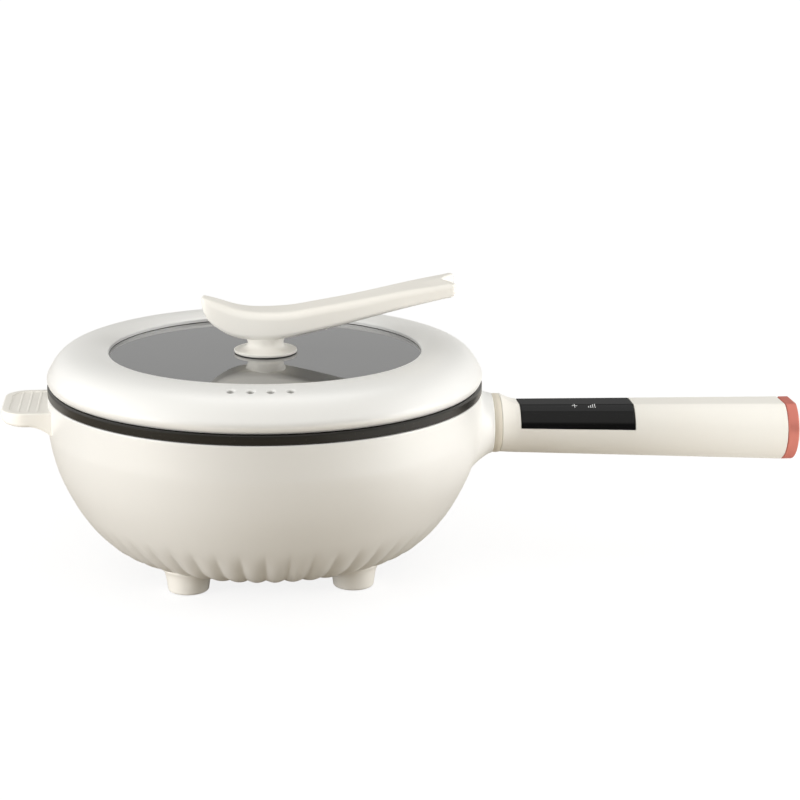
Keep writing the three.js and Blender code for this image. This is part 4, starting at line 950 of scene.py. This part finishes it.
mark_x = panel_low.x + mark_middle
marks = [
    printed(mark_x - mark_arm, mark_x + mark_arm, mark_centre - mark_bar / 2, mark_centre + mark_bar / 2),
    printed(mark_x - mark_bar / 2, mark_x + mark_bar / 2, mark_centre - mark_arm, mark_centre + mark_arm),
]
for i, height in enumerate(level_heights):
    bar_x = panel_low.x + level_start + i * level_pitch
    foot_line = mark_centre + mark_arm
    marks.append(printed(bar_x, bar_x + mark_bar * 1.4, foot_line - height, foot_line))
panel_marks = piece("panel_marks", *marks)
fit(panel_marks, "base", "panel_gloss", white_print)


# Electronics in the long handle: the touch board with its three springs under the panel, the power board
# with its relay behind it, and two sleeved leads to the heater. None of it shows.
board_finish = Finish("board")
board_place = board_finish.place()
tracks = board_finish.node("ShaderNodeTexBrick", {"offset": 0.5}, {"Vector": board_place, "Scale": 300})
board_green = board_finish.surface(
    Base_Color=board_finish.mixed(board_finish.noise(board_place, 0.003), hue(38, 96, 60), hue(52, 122, 78)),
    Roughness=0.4 + 0.2 * board_finish.noise(board_place, 0.001),
    Normal=board_finish.bump(tracks, 0.00002),
)
dress(board_green, "control_board", "power_board", edge=0.0002)
dress(steel, "touch_spring_1", "touch_spring_2", "touch_spring_3")
dress(dark_plastic, "relay", edge=0.0005)
sleeve_red = moulded("lead_red", hue(176, 60, 44), hue(160, 52, 40), 0.5, patch=0.01, peel=0.0005)
sleeve_blue = moulded("lead_blue", hue(50, 84, 150), hue(44, 74, 136), 0.5, patch=0.01, peel=0.0005)
dress(sleeve_red, "lead_live", sharp=math.radians(100))
dress(sleeve_blue, "lead_neutral", sharp=math.radians(100))


# End cap: closes the long handle and frames the power inlet. Coral plastic with a metallic sheen and
# rounded edges, pushed into the handle's end.
cap_low, cap_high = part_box("end_cap")
cap_start = grip_end + fitting_gap
cap_face = cap_high.x
cap_bevel = 0.0007
socket_half_width = 0.0142
socket_half_height = 0.0104
socket_chamfer = 0.004
coral_finish = Finish("cap_coral")
coral_place = coral_finish.place()
coral_grain = coral_finish.noise(coral_finish.stretched(coral_place, (1, 0.2, 0.2)), 0.0004, 3)
coral_patch = coral_finish.noise(coral_place, 0.02, 2)
cap_coral = coral_finish.surface(
    Base_Color=coral_finish.mixed(coral_patch, hue(228, 146, 132), hue(214, 128, 116)),
    Metallic=0.4,
    Specular_Tint=hue(196, 96, 84),
    Roughness=0.3 + 0.1 * (coral_grain - 0.5),
    Normal=coral_finish.bump(coral_grain, 0.000004),
    Specular_IOR_Level=0.15,
)


def cap_ring(x, inset):
    """The handle's end section, moved along X."""
    ring = grip_ring(grip_end, inset, inset)
    ring[:, 0] = x
    return ring


cap_turn = np.linspace(0, math.pi / 2, 7)
cap_rows = [cap_ring(cap_low.x, grip_wall + fitting_gap), cap_ring(cap_start, grip_wall + fitting_gap)]
cap_rows += [cap_ring(cap_start, grip_edge), cap_ring(cap_start + grip_edge, 0)]
cap_rows += [
    cap_ring(cap_face - cap_bevel * (1 - math.sin(a)), cap_bevel * (1 - math.cos(a))) for a in cap_turn
]
end_cap = piece("coral_cap", skin(cap_rows, capped=True), sharp=grip_crease)


def socket_outline(growth):
    """The inlet's outline, a block with its two upper corners cut off."""
    wide, high, corner = socket_half_width + growth, socket_half_height + growth, socket_chamfer
    return [(-wide, high - corner), (corner - wide, high), (wide - corner, high), (wide, high - corner),
            (wide, -high), (-wide, -high)]


mouth_rows = [
    [(x, side, grip_axis_end + up) for side, up in socket_outline(fitting_gap)]
    for x in (cap_low.x - grip_wall, cap_face + grip_wall)
]
mouth_points = np.array(mouth_rows).reshape(-1, 3)
mouth_faces = [tuple(range(6)), tuple(range(11, 5, -1))]
mouth_faces += [(i, (i + 1) % 6, 6 + (i + 1) % 6, 6 + i) for i in range(6)]
cut(end_cap, piece("mouth", (mouth_points, mouth_faces)), grip_crease)
fit(end_cap, "base", "cap_coral", cap_coral, "end_cap")
dress(dark_plastic, "inlet_socket", edge=0.0003)
dress(brass, "inlet_pin_1", "inlet_pin_2", "inlet_pin_3", edge=0.0003)


# Lid ring: the lid's domed frame, pearl white plastic with a satin gloss. Four round vents pierce its
# front, and it carries the glass in its lip.
lid_low, lid_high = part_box("lid_ring")
lid_turn = math.radians(-4.5)
lid_radius = bowl_radius
lid_foot_radius = lid_radius - 0.002
lid_foot_width = 0.0065
lid_crest = lid_high.z - rim
lid_wall = 0.0026
# Radius and height of the lid ring's outline, from above its bottom edge to the glass opening.
lid_shares = [
    (1, 0.35), (0.986, 0.535), (0.965, 0.69), (0.935, 0.835),
    (0.902, 0.92), (0.862, 0.973), (0.815, 1), (0.76, 0.975),
]
glass_low, glass_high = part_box("lid_glass")
glass_opening = lid_radius - 0.0422
opening_top = lid_crest - 0.0031
lip_thick = 0.0017
lip_seat = rim + opening_top - lip_thick
lip_round = 0.0009
lip_drip = 0.0008
lip_low = glass_high.z + 0.0003
seal_reach = 0.0087
vent_count = 4
vent_middle = math.radians(-93.9)
vent_pitch = math.radians(5.5)
vent_circle = 0.1316
vent_radius = 0.0027
vent_flare = 0.0007
lid_columns = 288
lid_crease = math.radians(50)
lid_line = smooth_curve(
    [(lid_foot_radius, lid_low.z), *[(r * lid_radius, rim + z * lid_crest) for r, z in lid_shares],
     (glass_opening, rim + opening_top)],
    80,
)
lid_line[:, 0] = np.minimum(lid_line[:, 0], lid_radius)
lid_line[:, 1] = np.minimum(lid_line[:, 1], lid_high.z)
lip_reach = glass_opening + seal_reach
lid_inside = lid_line + outward_of(lid_line) * lid_wall
lid_inside = lid_inside[(lid_inside[:, 0] > lip_reach) & (lid_inside[:, 1] > lid_low.z + 2 * lid_wall)]
foot_inner = lid_foot_radius - lid_foot_width
lid_trimmed = lid_line[lid_line[:, 1] > lid_low.z + lip_round]
lid_trimmed = lid_trimmed[lid_trimmed[:, 0] > glass_opening + lip_round]
lid_outline = [
    (lid_foot_radius - lip_round, lid_low.z),
    (lid_foot_radius - lip_round * 0.3, lid_low.z + lip_round * 0.3),
    *lid_trimmed,
    *[
        (glass_opening + lip_round * (1 - math.sin(a)), rim + opening_top - lip_round * (1 - math.cos(a)))
        for a in np.linspace(0.3, math.pi / 2, 5)
    ],
    (glass_opening, lip_low), (glass_opening + lip_drip, lip_low), (glass_opening + lip_drip, lip_seat),
    (lip_reach, lip_seat), (lip_reach, lid_inside[-1][1]), *lid_inside[::-3],
    (lid_inside[0][0], lid_low.z + lid_wall), (foot_inner, lid_low.z + lid_wall), (foot_inner, lid_low.z),
]


def lid_part(name, outline, columns=lid_columns, sharp=math.radians(40)):
    """A ring round the pot's axis, from its closed outline of (radius, height)."""
    return piece(name, skin(turned(outline, columns, (axis_x, 0, 0)), looped=True), sharp=sharp)


def vent_cutter(low, high, flare_at):
    """The four vents as one tool: round posts that open a little at the surface."""
    posts = []
    for i in range(vent_count):
        turn = vent_middle + (i - (vent_count - 1) / 2) * vent_pitch
        centre = (axis_x + vent_circle * math.cos(turn), vent_circle * math.sin(turn), 0)
        outline = [(0, low), (vent_radius, low), (vent_radius, flare_at - vent_flare),
                   (vent_radius + vent_flare * 0.35, flare_at - vent_flare * 0.35),
                   (vent_radius + vent_flare * 1.6, flare_at + vent_flare), (vent_radius, high), (0, high)]
        posts.append(skin(turned(outline, 40, centre)))
    return piece("vents", *posts)


lid_ring = lid_part("lid_dome", lid_outline, sharp=lid_crease)
vent_surface = np.interp(vent_circle, lid_line[::-1, 0], lid_line[::-1, 1])
cut(lid_ring, vent_cutter(lid_low.z, lid_high.z + lid_wall * 2, vent_surface), lid_crease)
fit(lid_ring, "lid", "pearl_plastic", pearl, "lid_ring")


# Glass: a flat round pane of grey-tinted toughened glass with a ground edge, in a silicone seal that
# wraps its rim. The cream clamp ring snaps in from below and centres the lid in the pot.
glass_radius = glass_opening + 0.0046
glass_hole = 0.0028
glass_bevel = 0.0004
glass_finish = Finish("smoked_glass")
glass_place = glass_finish.place()
film = glass_finish.noise(glass_place, 0.05, 3)
smoked_glass = glass_finish.surface(
    Base_Color=glass_finish.mixed(film, hue(52, 53, 54), hue(58, 59, 59)),
    Roughness=0.035 + 0.02 * film,
    Normal=glass_finish.bump(glass_finish.noise(glass_place, 0.06, 1), 0.00003),
    IOR=1.52,
    Transmission_Weight=0.3,
    Coat_Weight=1.0,
    Coat_Roughness=0.02,
)
pane = rounded(
    [(glass_hole, glass_low.z, 0), (glass_radius, glass_low.z, glass_bevel),
     (glass_radius, glass_high.z, glass_bevel), (glass_hole, glass_high.z, 0)], 2
)
lid_glass = lid_part("glass_pane", pane, sharp=math.radians(10))
fit(lid_glass, "lid", "smoked_glass", smoked_glass, "lid_glass")

seal_low, seal_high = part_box("glass_seal")
seal_thick = 0.0006
seal_web = 0.0029
seal_lap = glass_opening + lip_drip + fitting_gap
seal_inner = glass_radius + fitting_gap
seal_outer = seal_inner + seal_web
seal_rubber = moulded(
    "seal_rubber", hue(150, 145, 134), hue(140, 135, 125), 0.6, patch=0.008, peel=0.0004, peel_height=0.00003
)
seal_outline = [
    (seal_lap, seal_high.z), (seal_lap, seal_high.z - seal_thick), (seal_inner, seal_high.z - seal_thick),
    (seal_inner, seal_low.z + seal_thick), (seal_lap, seal_low.z + seal_thick), (seal_lap, seal_low.z),
    (seal_outer, seal_low.z), (seal_outer, seal_high.z),
]
glass_seal = lid_part("pane_seal", seal_outline)
fit(glass_seal, "lid", "seal_rubber", seal_rubber, "glass_seal")

clamp_low, clamp_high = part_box("lid_clamp_ring")
clamp_thick = 0.002
clamp_top = clamp_high.z
clamp_shoulder = seal_outer + fitting_gap
clamp_tongue = foot_inner - fitting_gap
clamp_tongue_low = lid_low.z + fitting_gap
skirt_radius = pot_opening - 0.0017
clamp_edge = 0.0006
clamp_fillet = 0.001
clamp_outline = rounded(
    [
        (glass_opening - clamp_thick, clamp_top, clamp_edge), (clamp_shoulder, clamp_top, 0),
        (clamp_tongue - clamp_thick, clamp_tongue_low + clamp_thick, 0),
        (clamp_tongue, clamp_tongue_low + clamp_thick, 0), (clamp_tongue, clamp_tongue_low, 0),
        (skirt_radius, clamp_tongue_low, 0), (skirt_radius, clamp_low.z, clamp_edge),
        (skirt_radius - clamp_thick, clamp_low.z, clamp_edge),
        (skirt_radius - clamp_thick, clamp_tongue_low, clamp_fillet),
        (clamp_shoulder - clamp_thick / 2, clamp_top - clamp_thick, clamp_fillet),
        (glass_opening - clamp_thick, clamp_top - clamp_thick, clamp_edge),
    ],
    4,
)
clamp_ring = lid_part("clamp_ring", clamp_outline)
cut(clamp_ring, vent_cutter(clamp_low.z - lid_wall, clamp_high.z + lid_wall, clamp_high.z + lid_wall / 2))
fit(clamp_ring, "lid", "cream_plastic", cream, "lid_clamp_ring")


# Lid knob: a turned cream stem with a wide foot on the glass, and on it a long lever whose end splits
# like a fish's tail. One steel screw runs up through washer, glass and stem into the lever.
stem_low, stem_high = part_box("knob_stem")
stem_foot = 0.0218
stem_foot_thick = 0.0022
stem_radius = 0.0123
stem_hole = 0.0028
stem_flare = 0.0042
stem_flare_radius = 0.0172
stem_dish = 0.0004
stem_cup = 0.0014
stem_foot_edges = (0.001, 0.0008)
stem_flare_low = stem_low.z + stem_foot_thick
stem_foot_line = rounded(
    [
        (stem_hole, stem_low.z, 0), (stem_foot, stem_low.z, stem_foot_edges[0]),
        (stem_foot, stem_flare_low, stem_foot_edges[1]), (stem_hole, stem_flare_low, 0),
    ]
)
stem_outline = [(stem_hole, stem_low.z), *stem_foot_line[1:-1]]
for a in np.linspace(0.05, math.pi / 2, 18):
    stem_outline.append(
        (
            stem_flare_radius - (stem_flare_radius - stem_radius) * math.sin(a),
            stem_flare_low + stem_dish + stem_flare * (1 - math.cos(a)),
        )
    )
lever_seat = 0.0362 + rim
# The cup under the lever: steps out and up, in shares of the cup's size.
for out, up in ((0, -3), (0.15, -1.6), (0.5, -0.5), (1, 0.3), (1, 1)):
    stem_outline.append((stem_radius + stem_cup * out, lever_seat + stem_cup * up))
stem_outline += [(stem_radius, stem_high.z), (stem_hole, stem_high.z)]
knob_stem = lid_part("stem", stem_outline, 128)
fit(knob_stem, "lid", "cream_plastic", cream, "knob_stem")

lever_reach = 0.1304
lever_half = 0.017
lever_rise = 0.0529
lever_upper_round = 0.0056
lever_end_round = 0.0034
notch_depth = 0.0098
notch_half = 0.0165
notch_soft = 0.0028
notch_run = 0.03
# Stations of the lever: distance from the stem, half width, top height and bottom height.
lever_shares = [
    (-0.334, 0.26, 0.72, 0.66), (-0.326, 0.4, 0.737, 0.575), (-0.3, 0.53, 0.724, 0.452),
    (-0.245, 0.64, 0.684, 0.338), (-0.17, 0.74, 0.621, 0.246), (-0.08, 0.84, 0.579, 0.208),
    (0.02, 0.92, 0.572, 0.204), (0.12, 0.97, 0.585, 0.242), (0.25, 1, 0.636, 0.316),
    (0.42, 1.01, 0.714, 0.426), (0.6, 1.06, 0.806, 0.554), (0.75, 1.14, 0.884, 0.66),
    (0.88, 1.24, 0.943, 0.748), (0.955, 1.3, 0.975, 0.795), (0.988, 1.31, 0.988, 0.818),
    (1, 1.23, 0.992, 0.83),
]
lever_sizes = (lever_reach, lever_half, lever_rise, lever_rise)
lever_line = smooth_curve(np.array(lever_shares) * lever_sizes, 170)
lever_flat_points = 33
lever_round_points = 9


def lever_ring(x, half, top, low, inset):
    """One section of the lever: flat on top with a tight edge, full and round below."""
    half, top, low = half - inset, top - inset, low + inset
    upper = min(lever_upper_round, (top - low) * 0.38, half * 0.5)
    lower = min((top - low) * 0.24, half * 0.3)
    flat_half = half - upper
    low_half = half - lower
    over = [(y, top) for y in np.linspace(-flat_half, flat_half, lever_flat_points)]
    right = []
    for a in np.linspace(0, math.pi / 2, lever_round_points)[1:]:
        right.append((flat_half + upper * math.sin(a), top - upper * (1 - math.cos(a))))
    for a in np.linspace(0, math.pi / 2, lever_round_points):
        right.append((low_half + lower * math.cos(a), low + lower * (1 - math.sin(a))))
    left = [(-y, z) for y, z in reversed(right)]
    # The top has as many points as the bottom, so that the ends can be joined across.
    under = [(y, low) for y in np.linspace(low_half, -low_half, lever_flat_points)]
    split = lever_round_points - 1
    ring = [*left[-split:], *over, *right[:split], *right[split:], *under[1:-1], *left[: len(left) - split]]
    notch = np.array([
        notch_depth * max(0, 1 - math.sqrt(y * y + notch_soft**2) / notch_half) for y, _ in ring
    ])
    shift = notch * eased(x, lever_reach - notch_run, lever_reach)
    return np.array([(x - s, y, z) for (y, z), s in zip(ring, shift)])


lever_rows = []
for x, half, top, low in lever_line:
    past = max(x - (lever_reach - lever_end_round), 0)
    inset = lever_end_round - math.sqrt(max(lever_end_round**2 - past**2, 0))
    lever_rows.append(lever_ring(x, half, top, low, inset * 0.6))
lever_rows = np.array(lever_rows)
lever_turned = lever_rows.copy()
lever_x, lever_y = lever_rows[..., 0], lever_rows[..., 1]
lever_turned[..., 0] = axis_x + lever_x * math.cos(lid_turn) - lever_y * math.sin(lid_turn)
lever_turned[..., 1] = lever_x * math.sin(lid_turn) + lever_y * math.cos(lid_turn)
lever_turned[..., 2] += glass_high.z
lever = piece("fish_tail_lever", skin(lever_turned, capped=True))
fit(lever, "lid", "cream_plastic", cream, "lid_lever")

washer_low, washer_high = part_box("knob_washer")
washer_radius = (washer_high.y - washer_low.y) / 2
washer_edge = 0.0006
washer_outline = plate(stem_hole, washer_radius, washer_low.z, washer_high.z, washer_edge)
washer = lid_part("stem_washer", washer_outline, 96)
fit(washer, "lid", "soft_rubber", rubber, "knob_washer")
cross_screw("stem_screw", "knob_screw", head_height, "lid")


# Stage: a pale floor under soft studio light. The floor's colour carries painted shade, darker over the pot's
# side, and painted bounce light, paler under the long handle, which lightens what hangs over it. To the
# camera the floor and the backdrop are white, and the floor keeps the wok's shadow. Gloss and glass see a
# grey studio with a white screen at each side, and not the two tall softboxes.
floor_half = 30.0
# Where along X the floor's painted shade goes over into its painted bounce light.
painted_light_edge = (0.09, 0.22)
shadow_share = 0.2
shadow_reach = (0.6, 1.6)
floor_points = [(x * floor_half, y * floor_half, 0) for x, y in ((-1, -1), (1, -1), (1, 1), (-1, 1))]
floor_mesh = bpy.data.meshes.new("floor")
floor_mesh.from_pydata(floor_points, [], [(0, 1, 2, 3)])
floor = bpy.data.objects.new("floor", floor_mesh)
bpy.context.scene.collection.objects.link(floor)


def rays_of(finish, *kinds):
    """1 for rays of the given kinds, and 0 for the others."""
    seen = finish.node("ShaderNodeLightPath", output=f"Is {kinds[0]} Ray")
    for kind in kinds[1:]:
        seen = seen.maths("MAXIMUM", seen, finish.node("ShaderNodeLightPath", output=f"Is {kind} Ray"))
    return seen


white = hue(255, 255, 255)
floor_finish = Finish("floor")
floor_place = floor_finish.place()
# Painted shade and light in the floor's colour: dark over the pot's side as the wok's shade, pale under the
# handle as bounced light. Rays other than the camera's see it.
painted_light_share = floor_finish.between(*painted_light_edge, floor_finish.along("X", floor_place))
floor_finish.surface(
    Base_Color=floor_finish.mixed(painted_light_share, hue(176, 168, 155), hue(236, 233, 228)),
    Roughness=0.9,
    Specular_IOR_Level=0.0,
)
reach = floor_finish.node("ShaderNodeVectorMath", {"operation": "LENGTH"}, {0: floor_place}, output=1)
catcher_share = (1 - floor_finish.between(*shadow_reach, reach)) * shadow_share
catcher = floor_finish.node("ShaderNodeBsdfDiffuse", {}, {"Color": white})
glow = floor_finish.node("ShaderNodeEmission", {}, {"Color": white, "Strength": 1.06})
shown = floor_finish.node("ShaderNodeMixShader", {}, {0: catcher_share, 1: glow, 2: catcher})
plain = Wire(floor_finish, floor_finish.shader.outputs[0])
seen = rays_of(floor_finish, "Camera", "Transmission")
floor_mix = floor_finish.node("ShaderNodeMixShader", {}, {0: seen, 1: plain, 2: shown})
floor_finish.tree.links.new(floor_mix.socket, floor_finish.tree.nodes["Material Output"].inputs["Surface"])
floor_mesh.materials.append(floor_finish.material)

world = bpy.data.worlds.new("studio")
bpy.context.scene.world = world
world.use_nodes = True
studio = Finish("studio", world.node_tree)
studio.tree.nodes.clear()
direction = studio.node("ShaderNodeTexCoord", output="Generated")
across, depth, height = (studio.along(axis, direction) for axis in "XYZ")
walls = studio.mixed(studio.between(0.0, 0.15, height), hue(228, 227, 224), hue(193, 193, 192))
front_walls = studio.mixed(studio.between(0.3, 0.5, height), hue(92, 91, 89), hue(220, 219, 216))
walls = studio.mixed(studio.between(-0.45, 0.0, depth), front_walls, walls)
side_screens = studio.between(-0.6, -0.85, across) + studio.between(0.7, 0.95, across)
walls = studio.mixed(side_screens * (1 - studio.between(0.45, 0.65, height)), walls, white)
overhead = studio.mixed(studio.between(0.1, 0.8, height), hue(150, 148, 143), hue(255, 252, 245))
fill_light = studio.node("ShaderNodeBackground", {}, {"Color": overhead, "Strength": 0.72})
backdrop = studio.node("ShaderNodeBackground", {}, {"Color": white, "Strength": 1.0})
reflected = studio.node("ShaderNodeBackground", {}, {"Color": walls, "Strength": 1.0})
unlit = studio.node("ShaderNodeMixShader", {}, {0: rays_of(studio, "Glossy"), 1: fill_light, 2: reflected})
seen = rays_of(studio, "Camera", "Transmission")
sky = studio.node("ShaderNodeMixShader", {}, {0: seen, 1: unlit, 2: backdrop})
sky_output = studio.tree.nodes.new("ShaderNodeOutputWorld")
studio.tree.links.new(sky.socket, sky_output.inputs["Surface"])

softbox_reach = 1.5
softbox_width = 0.6
softbox_height = 0.65


def softbox(name, bearing, brightness):
    """A tall softbox at a bearing in degrees from the camera's, to the right of it where positive. It stands
    on the floor at a distance from the pot's axis and faces it."""
    turn = math.atan2(camera_place.y, camera_place.x - axis_x) + math.radians(bearing)
    middle = Vector(
        (axis_x + softbox_reach * math.cos(turn), softbox_reach * math.sin(turn), softbox_height / 2)
    )
    lamp = bpy.data.lights.new(name, "AREA")
    lamp.shape = "RECTANGLE"
    lamp.size = softbox_width
    lamp.size_y = softbox_height
    lamp.energy = brightness * math.pi * softbox_width * softbox_height
    made = bpy.data.objects.new(name, lamp)
    made.location = middle
    aim = Vector((axis_x, 0, middle.z)) - middle
    made.rotation_euler = aim.to_track_quat("-Z", "Y").to_euler()
    made.visible_glossy = False
    bpy.context.scene.collection.objects.link(made)


softbox("softbox_left", -62, 15.0)
softbox("softbox_right", 80, 12.0)
roof_size = (2.0, 1.2)
roof_place = (axis_x + 0.1, 0.1, 2.0)
roof = bpy.data.lights.new("softbox_top", "AREA")
roof.shape = "RECTANGLE"
roof.size, roof.size_y = roof_size
roof.energy = 4
roof_lamp = bpy.data.objects.new("softbox_top", roof)
roof_lamp.location = roof_place
bpy.context.scene.collection.objects.link(roof_lamp)
bpy.context.scene.view_settings.view_transform = "Standard"
